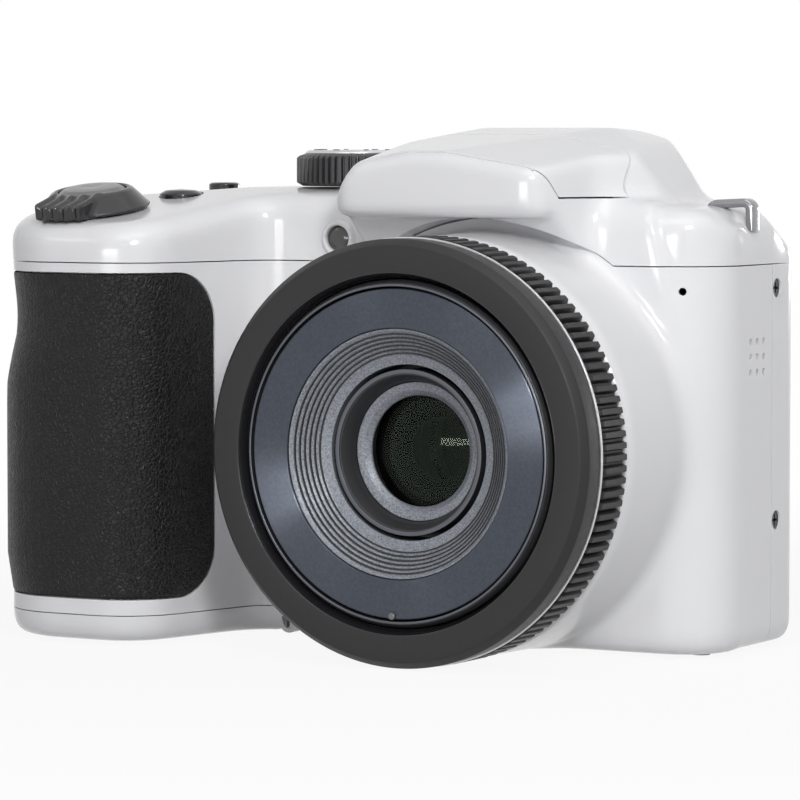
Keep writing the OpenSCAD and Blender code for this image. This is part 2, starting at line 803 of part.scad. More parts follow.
module front_lens_retainer() {
    color("gray") lens_axis() translate([0, 0, glass_front]) rotate_extrude()
        polygon([[glass_radius, -0.7], [glass_edge, -0.7], [glass_edge, 0.6], [glass_radius + 0.9, 0.4]]);
}
// A biconvex glass about the lens axis, between two distances
module glass(edge, from, to, crown) {
    curve = (edge*edge + crown*crown)/(2*crown);
    color("aliceblue") lens_axis() intersection() {
        translate([0, 0, from]) cylinder(r = edge, h = to - from);
        translate([0, 0, to - curve]) sphere(r = curve, $fn = 4*$fn);
        translate([0, 0, from + curve]) sphere(r = curve, $fn = 4*$fn);
    }
}
module front_lens() {
    glass(glass_edge, glass_front - glass_depth + 0.1, glass_front - 0.8 + 0.6, 1.2);
}
module variator_lens() {
    glass(variator_bore, variator_back + 1, variator_back + variator_depth - 1, 0.8);
}
module focus_lens() {
    glass(focus_bore, focus_back + 0.5, focus_back + focus_depth - 0.5, 0.6);
}
module moving_cell(bore, back, depth) {
    lens_axis() difference() {
        union() {
            translate([0, 0, back]) cylinder(r = bore + 3, h = depth);
            box([-3, -rod_offset - 2.5, back], [3, rod_offset + 2.5, back + depth]);
        }
        translate([0, 0, back - eps]) cylinder(r = bore + running, h = depth + 2*eps);
        for (a = [90, 270])
            rotate([0, 0, a]) translate([rod_offset, 0, 0]) cylinder(r = rod_radius + running, h = far);
    }
}
module variator_cell() {
    color("black") moving_cell(variator_bore, variator_back, variator_depth);
}
module focus_cell() {
    color("black") moving_cell(focus_bore, focus_back, focus_depth);
}
module guide_rods() {
    color("silver") lens_axis() for (a = [90, 270])
        rotate([0, 0, a]) translate([rod_offset, 0, tube_back - base_plate])
            cylinder(r = rod_radius, h = rod_front - tube_back + base_plate);
}
module cam_ring() {
    color("gray") lens_axis() translate([0, 0, gear_back]) difference() {
        linear_extrude(gear_width) polygon(toothed(cam_teeth, cam_radius - tooth_foot,
            cam_radius + gear_module, 0.56, 0.2));
        translate([0, 0, -eps]) cylinder(r = tube_radius + running, h = far);
    }
}
module zoom_drive_gear() {
    color("gainsboro") lens_axis() rotate([0, 0, gear_angle]) translate([gear_reach, 0, 0]) {
        translate([0, 0, gear_back]) rotate([0, 0, 180 + 180/pinion_teeth]) linear_extrude(gear_width)
            polygon(toothed(pinion_teeth, pinion_radius - tooth_foot, pinion_radius + gear_module, 0.62,
                0.18));
        translate([0, 0, tube_back - base_plate - 1.5]) cylinder(r = pinion_shaft, h = gear_width + 4);
    }
}
module zoom_motor() {
    color("silver") translate([pinion_x, 0, pinion_z]) difference() {
        rod_y(motor_radius, base_plate - tube_back + seat, base_plate - tube_back + seat + motor_depth);
        rod_y(pinion_shaft + 0.3, base_plate - tube_back - 1, base_plate - tube_back + 2.5);
    }
}

// Sensor, boards and screen
module image_sensor() {
    back = tube_back - base_plate - running;
    color("darkslateblue") lens_axis() box([-sensor_half.x, -sensor_half.y, back],
        [sensor_half.x, sensor_half.y, tube_back - 0.6]);
}
module sensor_board() {
    front = tube_back - base_plate - running;
    color("green") lens_axis() box([-sensor_board_half.x, -sensor_board_half.y, front - sensor_depth],
        [sensor_board_half.x, sensor_board_half.y, front]);
}
module main_frame() {
    color("silver") difference() {
        union() {
            box([frame_left, frame_front, frame_low], [frame_right, frame_back, frame_high]);
            lens_axis() for (a = standoff_angles)
                rotate([0, 0, a]) translate([standoff_offset, 0, -frame_front - eps])
                    cylinder(r = 2, h = frame_front + eps + tube_back - base_plate - running);
        }
        box([screen_x - 16, -far, lens_height - 13], [screen_x + 20, far, lens_height + 13]);
    }
}
module main_board() {
    color("darkgreen") box([frame_left + 1, board_back - board_depth, frame_low + 1],
        [frame_right - 1, board_back, frame_high - 1]);
}
module processor_chips() {
    color("black") for (c = chips)
        box([c.x - c.z, board_back, c.y - c.z], [c.x + c.z, board_back + chip_depth, c.y + c.z]);
}
module speaker() {
    color("black") translate([0, speaker_y, speaker_z])
        rod_x(speaker_radius, body_right - wall - seat - speaker_depth, body_right - wall - seat);
}
module screen_module() {
    half_width = screen_width/2 - 1;
    half_height = screen_height/2 - 1;
    color("black") box([screen_x - half_width, screen_back - screen_depth, screen_z - half_height],
        [screen_x + half_width, screen_back, screen_z + half_height]);
}
module screen_opening(grow) {
    along_y(rear_y - wall - eps, far) polygon(rounded(drawn_in(
        [[screen_x - screen_width/2, screen_z - screen_height/2, 3],
         [screen_x + screen_width/2, screen_z - screen_height/2, 3],
         [screen_x + screen_width/2, screen_z + screen_height/2, 3],
         [screen_x - screen_width/2, screen_z + screen_height/2, 3]], -grow)));
}
module screen_window() {
    color("black") intersection() {
        screen_opening(0);
        box([-far, rear_y - wall, -far], [far, rear_y + 0.3, far]);
    }
}

// Pop-up flash
module flash_cover() {
    color("white") difference() {
        union() {
            difference() {
                intersection() {
                    hump_form(0);
                    flash_room(flash_gap);
                    box([hump_left + flash_gap, -far, 0], [far, far, far]);
                }
                hump_form(flash_shell);
            }
            for (side = [-1, 1]) translate([flash_middle + side*flash_arm_x, 0, 0]) {
                intersection() {
                    box([-flash_arm/2, flash_front + flash_lens_depth + 0.8, flash_seam + flash_gap],
                        [flash_arm/2, flash_pivot_y - flash_sweep - 2*flash_gap, far]);
                    translate([-flash_middle - side*flash_arm_x, 0, 0]) hump_form(flash_shell/2);
                }
                box([-flash_arm/2, flash_pivot_y - flash_sweep - 3, flash_pivot_z - 0.4],
                    [flash_arm/2, flash_pivot_y, flash_pivot_z + 1.8]);
                flash_axis() rod_x(flash_hub, -flash_arm/2, flash_arm/2);
            }
        }
        flash_axis() rod_x(flash_pin_radius + running, -far, far);
    }
}
module flash_lens() {
    color("white") difference() {
        box([flash_middle - flash_arm_x - 1, flash_front + flash_gap + 0.2, flash_seam + flash_gap + 0.1],
            [flash_middle + flash_arm_x + 1, flash_front + flash_gap + 0.2 + flash_lens_depth - 0.5,
             flash_seam + flash_gap + flash_lens_height]);
        for (i = [-8:8])
            translate([flash_middle + i*1.5, flash_front + flash_gap + flash_lens_depth - 0.3, 0])
                rotate([0, 0, 45]) box([-0.3, -0.3, 0], [0.3, 0.3, far]);
    }
}
module flash_reflector() {
    low = flash_seam + flash_gap + 0.2;
    back = flash_front + flash_lens_depth + 0.2;
    color("silver") difference() {
        box([flash_middle - flash_arm_x + 1.5, back, low],
            [flash_middle + flash_arm_x - 1.5, back + flash_unit_depth, low + flash_lens_height - 0.4]);
        along_x(flash_middle - flash_arm_x + 2.3, flash_middle + flash_arm_x - 2.3)
            polygon([[back - eps, low + 0.5], [back + 2.6, low + 1],
                [back + 2.6, low + flash_lens_height - 1.4], [back - eps, low + flash_lens_height - 0.9]]);
        translate([0, back + 2.8, low + flash_lens_height/2 - 0.2])
            rod_x(1.3, flash_middle - flash_arm_x + 2.3, flash_middle + flash_arm_x - 2.3);
    }
}
module flash_lamp() {
    color("white")
        translate([0, flash_front + flash_lens_depth + 3, flash_seam + flash_gap + flash_lens_height/2])
            rod_x(1, flash_middle - flash_arm_x + 2.6, flash_middle + flash_arm_x - 2.6);
}
module flash_pin() {
    color("silver") flash_axis()
        rod_x(flash_pin_radius, flash_middle - flash_pin_half, flash_middle + flash_pin_half);
}

// Controls
module shutter_button() {
    low = lever_stand + lever_floor + shutter_travel + sliding;
    color("silver") on_grip_top() {
        translate([0, 0, low]) rotate_extrude()
            polygon([[0, 0], [shutter_radius, 0], [shutter_radius, shutter_height - 1],
                [shutter_radius - 0.8, shutter_height - 0.4], [shutter_radius/2, shutter_height - 0.1],
                [0, shutter_height]]);
        translate([0, 0, -wall - 2]) cylinder(r = stem_radius, h = wall + 2 + low + eps);
    }
}
module zoom_lever() {
    top = lever_stand + lever_height;
    well = lever_stand + lever_floor;
    color("dimgray") on_grip_top() difference() {
        union() {
            rotate_extrude() polygon([[stem_radius + sliding, -wall], [lever_neck, -wall],
                [lever_neck, lever_stand], [lever_radius, lever_stand], [lever_radius, well],
                [shutter_radius + lever_rim, top], [shutter_radius + sliding, top],
                [shutter_radius + sliding, well], [stem_radius + sliding, well]]);
            difference() {
                translate([0, 0, lever_stand]) cylinder(r = lever_tab, h = lever_height - 0.6);
                translate([0, 0, lever_stand - eps]) cylinder(r = shutter_radius + lever_rim, h = far);
                box([-far, -shutter_radius, 0], [far, far, far]);
                for (side = [0, 1])
                    mirror([side, 0, 0]) box([lever_tab_half, -far, 0], [far, far, far]);
            }
        }
        for (i = [-2:2])
            translate([i*1.7, -lever_tab, 0]) cylinder(r = 0.45, h = far);
    }
}
module mode_dial() {
    color("black") translate([dial_x, dial_y, deck_height + seat]) {
        linear_extrude(dial_height - dial_cap - 0.8)
            polygon(toothed(dial_flutes, dial_radius - 0.6, dial_radius, 0.7, 0.45));
        translate([0, 0, dial_height - dial_cap - 0.8])
            cylinder(r1 = dial_radius - 0.6, r2 = dial_radius - 1.2, h = 0.8);
        translate([0, 0, -wall - 3]) cylinder(r = dial_shaft, h = wall + 4);
    }
}
module mode_dial_cap() {
    color("silver") translate([dial_x, dial_y, deck_height + seat + dial_height - dial_cap])
        cylinder(r = dial_radius - 1.4, h = dial_cap);
}
module power_button() {
    color("black") translate([power_x, power_y, power_z]) rotate_extrude()
        polygon([[0, -wall - key_flange], [power_radius, -wall - key_flange], [power_radius, 0.9],
            [power_radius*0.7, 1.6], [0, 2]]);
}
module function_button() {
    color("black") translate([function_x, function_y, deck_height]) rotate_extrude()
        polygon([[0, -wall - key_flange], [function_radius, -wall - key_flange], [function_radius, 0.8],
            [function_radius - 0.3, 1.1], [0, 1.1]]);
}
module focus_lamp() {
    color("orange") translate([lamp_x, 0, lamp_z]) rod_y(lamp_radius, front_y - 0.4, front_y + wall + 0.4);
}
module strap_lugs() {
    color("silver") both_lugs(0);
}
module cover_screws() {
    color("black") at_screws() screw();
}
module record_button() {
    color("red") translate([record_key.x, 0, record_key.y]) key(key_radius);
}
module play_button() {
    color("black") translate([menu_keys[0].x, 0, menu_keys[0].y]) key(key_radius);
}
module menu_button() {
    color("black") translate([menu_keys[1].x, 0, menu_keys[1].y]) key(key_radius);
}
module delete_button() {
    color("black") translate([menu_keys[2].x, 0, menu_keys[2].y]) key(key_radius);
}
module pad_and_ok() {
    color("black") translate([pad_x, 0, pad_z]) difference() {
        key(pad_radius);
        difference() {
            rod_y(ok_radius + 0.4, rear_y - 0.3, far);
            rod_y(ok_radius, 0, far);
        }
    }
}

front_cover();
rear_cover();
top_cover();
grip_skin();
battery_door();
battery_door_pin();
battery_door_latch();
battery_door_contacts();
battery_cells();
battery_holder();
battery_contacts();
card_slot();
flash_capacitor();
tripod_socket();
lens_tube();
lens_base();
lens_name_ring();
lens_accent_ring();
lens_rib_ring();
zoom_barrel_outer();
zoom_barrel_inner();
lens_baffle();
front_lens_cell();
front_lens_retainer();
front_lens();
cam_ring();
zoom_drive_gear();
zoom_motor();
guide_rods();
variator_cell();
variator_lens();
focus_cell();
focus_lens();
image_sensor();
sensor_board();
main_frame();
main_board();
processor_chips();
speaker();
screen_module();
screen_window();
flash_cover();
flash_reflector();
flash_lens();
flash_lamp();
flash_pin();
shutter_button();
zoom_lever();
mode_dial();
mode_dial_cap();
power_button();
function_button();
focus_lamp();
strap_lugs();
cover_screws();
record_button();
play_button();
menu_button();
delete_button();
pad_and_ok();
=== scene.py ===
import json
import math

import bpy
import numpy as np
from mathutils import Matrix, Vector


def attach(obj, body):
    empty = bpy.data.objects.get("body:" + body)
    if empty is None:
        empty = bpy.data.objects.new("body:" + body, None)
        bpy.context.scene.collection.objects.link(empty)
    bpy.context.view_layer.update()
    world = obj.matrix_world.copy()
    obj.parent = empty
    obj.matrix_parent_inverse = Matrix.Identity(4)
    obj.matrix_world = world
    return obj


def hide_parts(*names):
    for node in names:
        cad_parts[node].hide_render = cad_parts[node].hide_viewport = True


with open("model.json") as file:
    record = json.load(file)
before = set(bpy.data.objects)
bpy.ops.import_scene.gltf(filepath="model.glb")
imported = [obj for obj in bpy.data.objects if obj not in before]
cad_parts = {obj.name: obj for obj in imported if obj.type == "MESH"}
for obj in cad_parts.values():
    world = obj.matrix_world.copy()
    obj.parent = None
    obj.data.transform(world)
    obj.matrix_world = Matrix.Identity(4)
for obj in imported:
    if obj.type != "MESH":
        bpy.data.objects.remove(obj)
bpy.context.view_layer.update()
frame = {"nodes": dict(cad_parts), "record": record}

# Bridge camera. Shapes are written in millimetres in the CAD frame: x along the width with the grip
# on -x, y from the lens to the screen, z up from the base.
MM = 0.001
LEFT_X, RIGHT_X = -80.5, 39.0
FRONT_Y, REAR_Y, GRIP_Y = -16.0, 16.7, -44.0
CORNER_R = 10.0
LENS_Z = 33.5
DECK_Z = 73.9
GRIP_TILT = math.radians(9.5)

# Seams: under the top cover, between front and rear cover, under the flash lid
SEAM_Z = 62.0
SPLIT_Y = 5.4
FLASH_Z = 72.6

# Places of the controls: x, y on the deck, x, z on the front and on the back, y, z of the flash lid's pin
DIAL_AT, POWER_AT, FUNCTION_AT = (-33.5, -2), (-59, -16), (-61, 1)
LAMP_AT = (-28.7, 65.7)
KEYS_AT = {"record": (-47, 55.5), "play": (-50, 46), "menu": (-71, 14.5), "delete": (-53, 14.5)}
PAD_AT = (-62, 30)
KEY_R, PAD_R = 2.6, 9.0
PIVOT = (-1.0, 73.2)


# Outlines and fields
def rounded(points, arc_step=7.0):
    """A closed outline as a polyline, from points (u, v, corner radius), with arcs in steps of so many degrees."""
    out = []
    for i, (u, v, r) in enumerate(points):
        p = np.array((u, v), float)
        if r <= 0:
            out.append(p)
            continue
        a = np.array(points[i - 1][:2], float) - p
        b = np.array(points[(i + 1) % len(points)][:2], float) - p
        a /= np.linalg.norm(a)
        b /= np.linalg.norm(b)
        half = math.acos(np.clip(a @ b, -1, 1)) / 2
        centre = p + (a + b) / np.linalg.norm(a + b) * r / math.sin(half)
        start, end = p + a * r / math.tan(half) - centre, p + b * r / math.tan(half) - centre
        t = math.atan2(start[1], start[0])
        turn = (math.atan2(end[1], end[0]) - t + 3 * math.pi) % (2 * math.pi) - math.pi
        steps = math.ceil(abs(turn) / math.radians(arc_step))
        for k in range(steps + 1):
            out.append(centre + r * np.array((math.cos(t + turn * k / steps), math.sin(t + turn * k / steps))))
    return np.array(out)


def outline_distance(outline, u, v):
    """Signed distance to a closed outline, negative inside, with its slope along u and v."""
    best, inside = None, False
    for (au, av), (bu, bv) in zip(outline, np.roll(outline, -1, 0)):
        eu, ev = bu - au, bv - av
        length = eu * eu + ev * ev
        if length < 1e-12:
            continue
        wu, wv = u - au, v - av
        t = np.clip((wu * eu + wv * ev) / length, 0, 1)
        du, dv = wu - t * eu, wv - t * ev
        d = du * du + dv * dv
        inside = inside ^ (((av > v) != (bv > v)) & (u < (eu * wv / ev if abs(ev) > 1e-12 else 0 * wv) + au))
        if best is None:
            best, gu, gv = d, du, dv
        else:
            nearer = d < best
            best, gu, gv = np.where(nearer, d, best), np.where(nearer, du, gu), np.where(nearer, dv, gv)
    d = np.where(inside, -1, 1) * np.sqrt(best)
    safe = np.where(np.abs(d) < 1e-6, 1e-6, d)
    return d, gu / safe, gv / safe


def edge(r, a, b, c):
    """Where two faces meet at slopes with product c, with the edge rounded by r."""
    a, b = a + r, b + r
    turn = np.sqrt(np.maximum(a * a + b * b - 2 * c * a * b, 0) / np.maximum(1 - c * c, 0.02))
    return np.where((a > c * b) & (b > c * a) & (c < 0.97), turn, np.maximum(a, b)) - r


def solid(r, *faces):
    """Intersection of faces (distance, slope) with every edge between them rounded by r."""
    best = faces[0][0]
    for i, (a, g) in enumerate(faces):
        for b, h in faces[:i]:
            best = np.maximum(best, edge(r, a, b, g[0] * h[0] + g[1] * h[1] + g[2] * h[2]))
    return best


def meet(r, *fields):
    """Intersection of faces square to each other, with edges rounded by r."""
    top = fields[0]
    for f in fields[1:]:
        top = np.maximum(top, f)
    return np.minimum(top, -r) + np.sqrt(sum(np.maximum(f + r, 0) ** 2 for f in fields))


def join(r, a, b):
    """Union with a hollow fillet of radius r."""
    return -meet(r, -a, -b)


def seen_from(outlines, x, y, z):
    """Faces of a form given by its outlines in plan, from the front and from the side."""
    plan, front, side = outlines
    d, u, v = outline_distance(plan, x, y)
    e, p, q = outline_distance(front, x, z)
    f, m, n = outline_distance(side, y, z)
    return [(d, (u, v, 0)), (e, (p, 0, q)), (f, (0, m, n))]


def facet(point, normal, x, y, z):
    n = np.array(normal) / np.linalg.norm(normal)
    return n[0] * (x - point[0]) + n[1] * (y - point[1]) + n[2] * (z - point[2]), tuple(n)


# Outer forms, each by its outlines in plan (x, y), from the front (x, z) and from the side (y, z)
SLOPE = math.tan(GRIP_TILT)
ARCH = 36.0
BROW_Z = LENS_Z + ARCH
BODY = [rounded([(RIGHT_X, FRONT_Y, CORNER_R), (RIGHT_X, REAR_Y, 5), (LEFT_X, REAR_Y, 6), (LEFT_X, GRIP_Y, 14),
                 (-50, GRIP_Y, 11), (-43, FRONT_Y, 6)]),
        rounded([(-160, 0, 0), (120, 0, 0), (34.6, 71.2, 8), (24, 71.7, 0), (-18.5, DECK_Z, 0), (-50, DECK_Z, 9),
                 (-68.5, 72.5, 9), (-77, 70.8, 6), (-160, 10, 0)]),
        rounded([(-200, 0, 0), (90, 0, 0), (90, DECK_Z, 0), (-8, DECK_Z, 9), (-200, DECK_Z - 192 * SLOPE, 0)])]
HUMP = [rounded([(-24.0, -29, 4.5), (14.2, -29, 4.5), (18.2, -17, 5), (26.0, -8, 6), (26.0, 14.2, 3),
                 (-22.5, 14.2, 3), (-22.5, -14, 6)]),
        rounded([(-42, 48, 0), (41, 48, 0), (22, 80.8, 7), (13, 83.8, 7), (-11, 83.8, 6), (-17.5, 80.5, 6)]),
        rounded([(-60, BROW_Z, 0), (-24, BROW_Z, 1.5), (-14.5, 60, 0), (-14.5, 40, 0), (34.2, 40, 0), (9.7, 83.2, 6),
                 (0, 83.8, 10), (-60, 75.7, 0)])]


def body_field(x, y, z):
    """The body: its outlines, a waist on the grip, a bevel at the rear shoulder and a pillar beside the lens."""
    faces = seen_from(BODY, x, y, z)
    waist = 0.9 * np.exp(-((z - 53) / 7.0) ** 2) / (1 + np.exp((x + 66) / 2.0))
    faces[0] = (faces[0][0] + waist, faces[0][1])
    corner = facet((36, 14, 66.5), (0.62, 0.348, 0.60), x, y, z)
    plain = solid(4.0, *faces, corner)
    rise = np.clip((z - 48) / 14, 0, 1)
    pillar, _ = facet((30.3, -16.5, 62.3), (0.91, 0.11, 0.21), x, y, z)
    pillar = meet(0.8, pillar, plain - 1.3 * rise * rise * (3 - 2 * rise), y + 4, 12 - x, z - 72.5)
    return join(0.6, plain, pillar)


def hump_field(x, y, z):
    """The hump: its three outlines, bevels at the brow's ends and along its top, and a flank drawn in to the rear."""
    bevels = [((12.8, -28, 77.8), (0.62, -0.40, 0.66)), ((-18.8, -29, 77.5), (-0.62, -0.40, 0.66)),
              ((12.2, -27, 77.9), (0.155, -0.2185, 1.0)), ((-13.0, -28.5, 79.2), (-0.19, -0.2185, 1.0)),
              ((24.5, 5, 77.1), (0.75, 0.40, 0.52))]
    return solid(1.8, *seen_from(HUMP, x, y, z), *[facet(p, n, x, y, z) for p, n in bevels])


def front_field(x, y, z):
    r = np.sqrt(x * x + (z - LENS_Z) ** 2)
    boss = meet(0.8, r - 33.3 - 0.03 * (y + 34), -y - 34.3, y + 6)
    both = join(2.2, body_field(x, y, z), boss)
    return meet(1.2, both, -z + 0 * both)


def top_field(x, y, z):
    return join(2.2, body_field(x, y, z), hump_field(x, y, z))


# Meshes
EDGES = [(a, a ^ bit) for bit in (1, 2, 4) for a in range(8) if not a & bit]


def field_mesh(field, low, high, step, soften=0):
    """Vertices and quads of the zero surface of a field, by surface nets, with edges softened by so many mm."""
    axes = [np.arange(a, b + step, step) for a, b in zip(low, high)]
    x, y, z = np.meshgrid(*axes, indexing="ij", sparse=True)
    f = np.array(np.broadcast_to(field(x, y, z), [len(a) for a in axes]), np.float32)
    for _ in range(round(2 * (soften / step) ** 2)):
        for axis in range(3):
            lines = np.moveaxis(f, axis, 0)
            lines[1:-1] = 0.25 * lines[:-2] + 0.5 * lines[1:-1] + 0.25 * lines[2:]
    for axis in range(3):
        for end in (0, -1):
            border = np.moveaxis(f, axis, 0)[end]
            np.maximum(border, 0.3 * step, out=border)
    inside = f < 0
    count = sum(inside[i:f.shape[0] - 1 + i, j:f.shape[1] - 1 + j, k:f.shape[2] - 1 + k].astype(np.int8)
                for i in (0, 1) for j in (0, 1) for k in (0, 1))
    cells = np.argwhere((count > 0) & (count < 8))
    index = np.full(count.shape, -1, np.int64)
    index[tuple(cells.T)] = np.arange(len(cells))
    offset = np.array([(c & 1, c >> 1 & 1, c >> 2 & 1) for c in range(8)])
    values = np.stack([f[tuple((cells + o).T)] for o in offset], 1)
    place, hits = np.zeros((len(cells), 3)), np.zeros(len(cells))
    for a, b in EDGES:
        fa, fb = values[:, a], values[:, b]
        m = (fa < 0) != (fb < 0)
        t = (fa[m] / (fa[m] - fb[m]))[:, None]
        place[m] += offset[a] + t * (offset[b] - offset[a])
        hits[m] += 1
    local = place / hits[:, None]
    verts = np.array(low) + step * (cells + local)
    slope = np.zeros((len(cells), 3))
    for axis in range(3):
        far = values[:, [c for c in range(8) if offset[c][axis]]].mean(1)
        near = values[:, [c for c in range(8) if not offset[c][axis]]].mean(1)
        slope[:, axis] = far - near
    slope /= np.maximum(np.linalg.norm(slope, axis=1), 1e-9)[:, None]
    for _ in range(0 if soften else 2):
        d = field(verts[:, 0], verts[:, 1], verts[:, 2])
        verts -= slope * np.clip(d, -0.6 * step, 0.6 * step)[:, None]
    faces = []
    unit = np.eye(3, dtype=int)
    for axis in range(3):
        u, v = unit[(axis + 1) % 3], unit[(axis + 2) % 3]
        size = list(f.shape)
        size[axis] -= 1
        near = inside[tuple(slice(0, n) for n in size)]
        far = inside[tuple(slice(f.shape[i] - n, f.shape[i]) for i, n in enumerate(size))]
        e = np.argwhere(near != far)
        keep = np.all((e >= u + v) & (e < np.array(f.shape) - 1), axis=1)
        e = e[keep]
        quad = np.stack([index[tuple((e - u - v).T)], index[tuple((e - v).T)], index[tuple(e.T)],
                         index[tuple((e - u).T)]], 1)
        flip = ~inside[tuple(e.T)]
        quad[flip] = quad[flip][:, ::-1]
        faces.append(quad)
    return verts, np.concatenate(faces)


def make(name, verts, faces):
    mesh = bpy.data.meshes.new(name)
    mesh.from_pydata((np.asarray(verts, float) * MM).tolist(), [], np.asarray(faces).tolist()
                     if isinstance(faces, np.ndarray) else [list(f) for f in faces])
    obj = bpy.data.objects.new(name, mesh)
    bpy.context.scene.collection.objects.link(obj)
    return obj


def box(low, high):
    """A box as (vertices, faces)."""
    v = [(x, y, z) for z in (low[2], high[2]) for y in (low[1], high[1]) for x in (low[0], high[0])]
    return v, [(0, 2, 3, 1), (4, 5, 7, 6), (0, 1, 5, 4), (2, 6, 7, 3), (0, 4, 6, 2), (1, 3, 7, 5)]


def moved(place, verts):
    m = np.array(place)
    return np.asarray(verts, float) @ m[:3, :3].T + m[:3, 3]


def prism(outline, low, high, place):
    """An outline drawn out along the local z axis."""
    n = len(outline)
    v = [(p[0], p[1], low) for p in outline] + [(p[0], p[1], high) for p in outline]
    f = [tuple(range(n))[::-1], tuple(range(n, 2 * n))]
    f += [(i, (i + 1) % n, n + (i + 1) % n, n + i) for i in range(n)]
    return moved(place, v), f


def turned(outline, place, count=128):
    """A closed outline of (radius, height) points, counter-clockwise, turned about the local z axis."""
    pts = np.asarray(outline, float)
    n = len(pts)
    v, ring_of = [], []
    for j, (r, h) in enumerate(pts):
        if r < 1e-6:
            ring_of.append([len(v)] * count)
            v.append((0, 0, h))
        else:
            ring_of.append(list(range(len(v), len(v) + count)))
            v += [(r * math.cos(2 * math.pi * i / count), r * math.sin(2 * math.pi * i / count), h)
                  for i in range(count)]
    faces = []
    for j in range(n):
        a, b = ring_of[j], ring_of[(j + 1) % n]
        for i in range(count):
            k = (i + 1) % count
            quad = []
            for q in (a[i], a[k], b[k], b[i]):
                if q not in quad:
                    quad.append(q)
            if len(quad) > 2:
                faces.append(tuple(quad))
    return moved(place, v), faces


def rod(r, low, high, place, count=64):
    """A full cylinder between two heights on the local z axis."""
    return turned([(0, low), (r, low), (r, high), (0, high)], place, count)


def ribbed(place, count, foot, tip, inner, levels, crest=0.46, flank=0.17, lean=0.0):
    """A ring with ribs round it. Levels are (height, share of the rib's height, set-back of the foot)."""
    shape = [(-0.5, 0), (-crest / 2 - flank, 0), (-crest / 2 - 0.35 * flank, 0.75), (-crest / 2, 1), (0, 1.02),
             (crest / 2, 1), (crest / 2 + 0.35 * flank, 0.75), (crest / 2 + flank, 0)]
    turn = np.array([(i + s) / count * 2 * math.pi for i in range(count) for s, _ in shape])
    rise = np.array([h for _ in range(count) for _, h in shape])
    v, n = [], len(turn)
    for height, share, back in levels:
        r = foot - back + (tip - foot) * rise * share
        t = turn + lean * height
        v += list(zip(r * np.cos(t), r * np.sin(t), np.full(n, height)))
    for height in (levels[-1][0], levels[0][0]):
        v += list(zip(inner * np.cos(turn), inner * np.sin(turn), np.full(n, height)))
    rows = len(levels) + 2
    faces = [(j * n + i, j * n + (i + 1) % n, (j + 1) % rows * n + (i + 1) % n, (j + 1) % rows * n + i)
             for j in range(rows) for i in range(n)]
    return moved(place, v), faces


def boolean(obj, how, *cutters):
    """Cuts, joins or meets obj with closed meshes given as (vertices, faces) or as objects."""
    for cutter in cutters:
        tool = make("cutter", *cutter) if isinstance(cutter, tuple) else cutter
        mod = obj.modifiers.new("cut", "BOOLEAN")
        mod.operation, mod.solver, mod.object = how, "MANIFOLD", tool
        graph = bpy.context.evaluated_depsgraph_get()
        mesh = bpy.data.meshes.new_from_object(obj.evaluated_get(graph))
        obj.modifiers.clear()
        old, obj.data = obj.data, mesh
        bpy.data.meshes.remove(old)
        if isinstance(cutter, tuple):
            drop(tool)
    return obj


def drop(obj):
    mesh = obj.data
    bpy.data.objects.remove(obj)
    bpy.data.meshes.remove(mesh)


def copy(obj, name):
    new = bpy.data.objects.new(name, obj.data.copy())
    bpy.context.scene.collection.objects.link(new)
    return new


def smooth(obj, angle=30):
    mesh = obj.data
    mesh.polygons.foreach_set("use_smooth", np.ones(len(mesh.polygons), bool))
    mesh.set_sharp_from_angle(angle=math.radians(angle))
    return obj


def finish(obj, name, body, mat, slot, *nodes, angle=30):
    """Names a piece, gives it its material, ties it to its body and hides the nodes it stands for."""
    obj.name = name
    obj.data.name = name
    obj.data.materials.clear()
    obj.data.materials.append(mat)
    smooth(obj, angle)
    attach(obj, body)
    if nodes:
        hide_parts(*nodes)
    return obj


def soft(points, r=0.15):
    """A closed outline whose corners are rounded by r where no other radius is given."""
    return rounded([p if len(p) == 3 else (p[0], p[1], r) for p in points], 20)


def piece(name, shape, body, mat, slot, *nodes, angle=30):
    return finish(make(name, *shape), name, body, mat, slot, *nodes, angle=angle)


def turned_piece(name, outline, place, count, body, mat, slot, *nodes, r=0.15):
    return piece(name, turned(soft(outline, r), place, count), body, mat, slot, *nodes)


# Places
LENS = Matrix(((1, 0, 0, 0), (0, 0, -1, 0), (0, 1, 0, LENS_Z), (0, 0, 0, 1)))
GRIP_TOP = Matrix.Translation((-66.5, -31, 70.051)) @ Matrix.Rotation(GRIP_TILT, 4, "X")


def upright(x, y, z):
    return Matrix.Translation((x, y, z))


def on_back(x, z):
    return Matrix(((1, 0, 0, x), (0, 0, 1, REAR_Y), (0, -1, 0, z), (0, 0, 0, 1)))


def on_right(y, z, x=RIGHT_X):
    return Matrix(((0, 0, 1, x), (1, 0, 0, y), (0, 1, 0, z), (0, 0, 0, 1)))


def on_left(y, z, x):
    return Matrix(((0, 0, -1, x), (-1, 0, 0, y), (0, 1, 0, z), (0, 0, 0, 1)))


def on_base(x, y, z):
    return Matrix(((1, 0, 0, x), (0, -1, 0, y), (0, 0, -1, z), (0, 0, 0, 1)))


def on_front(x, z, y=FRONT_Y):
    return Matrix(((1, 0, 0, x), (0, 0, -1, y), (0, 1, 0, z), (0, 0, 0, 1)))


# Materials
def node(tree, kind, **values):
    n = tree.nodes.new(kind)
    for key, value in values.items():
        if key in n.inputs:
            n.inputs[key].default_value = value
        else:
            setattr(n, key, value)
    return n


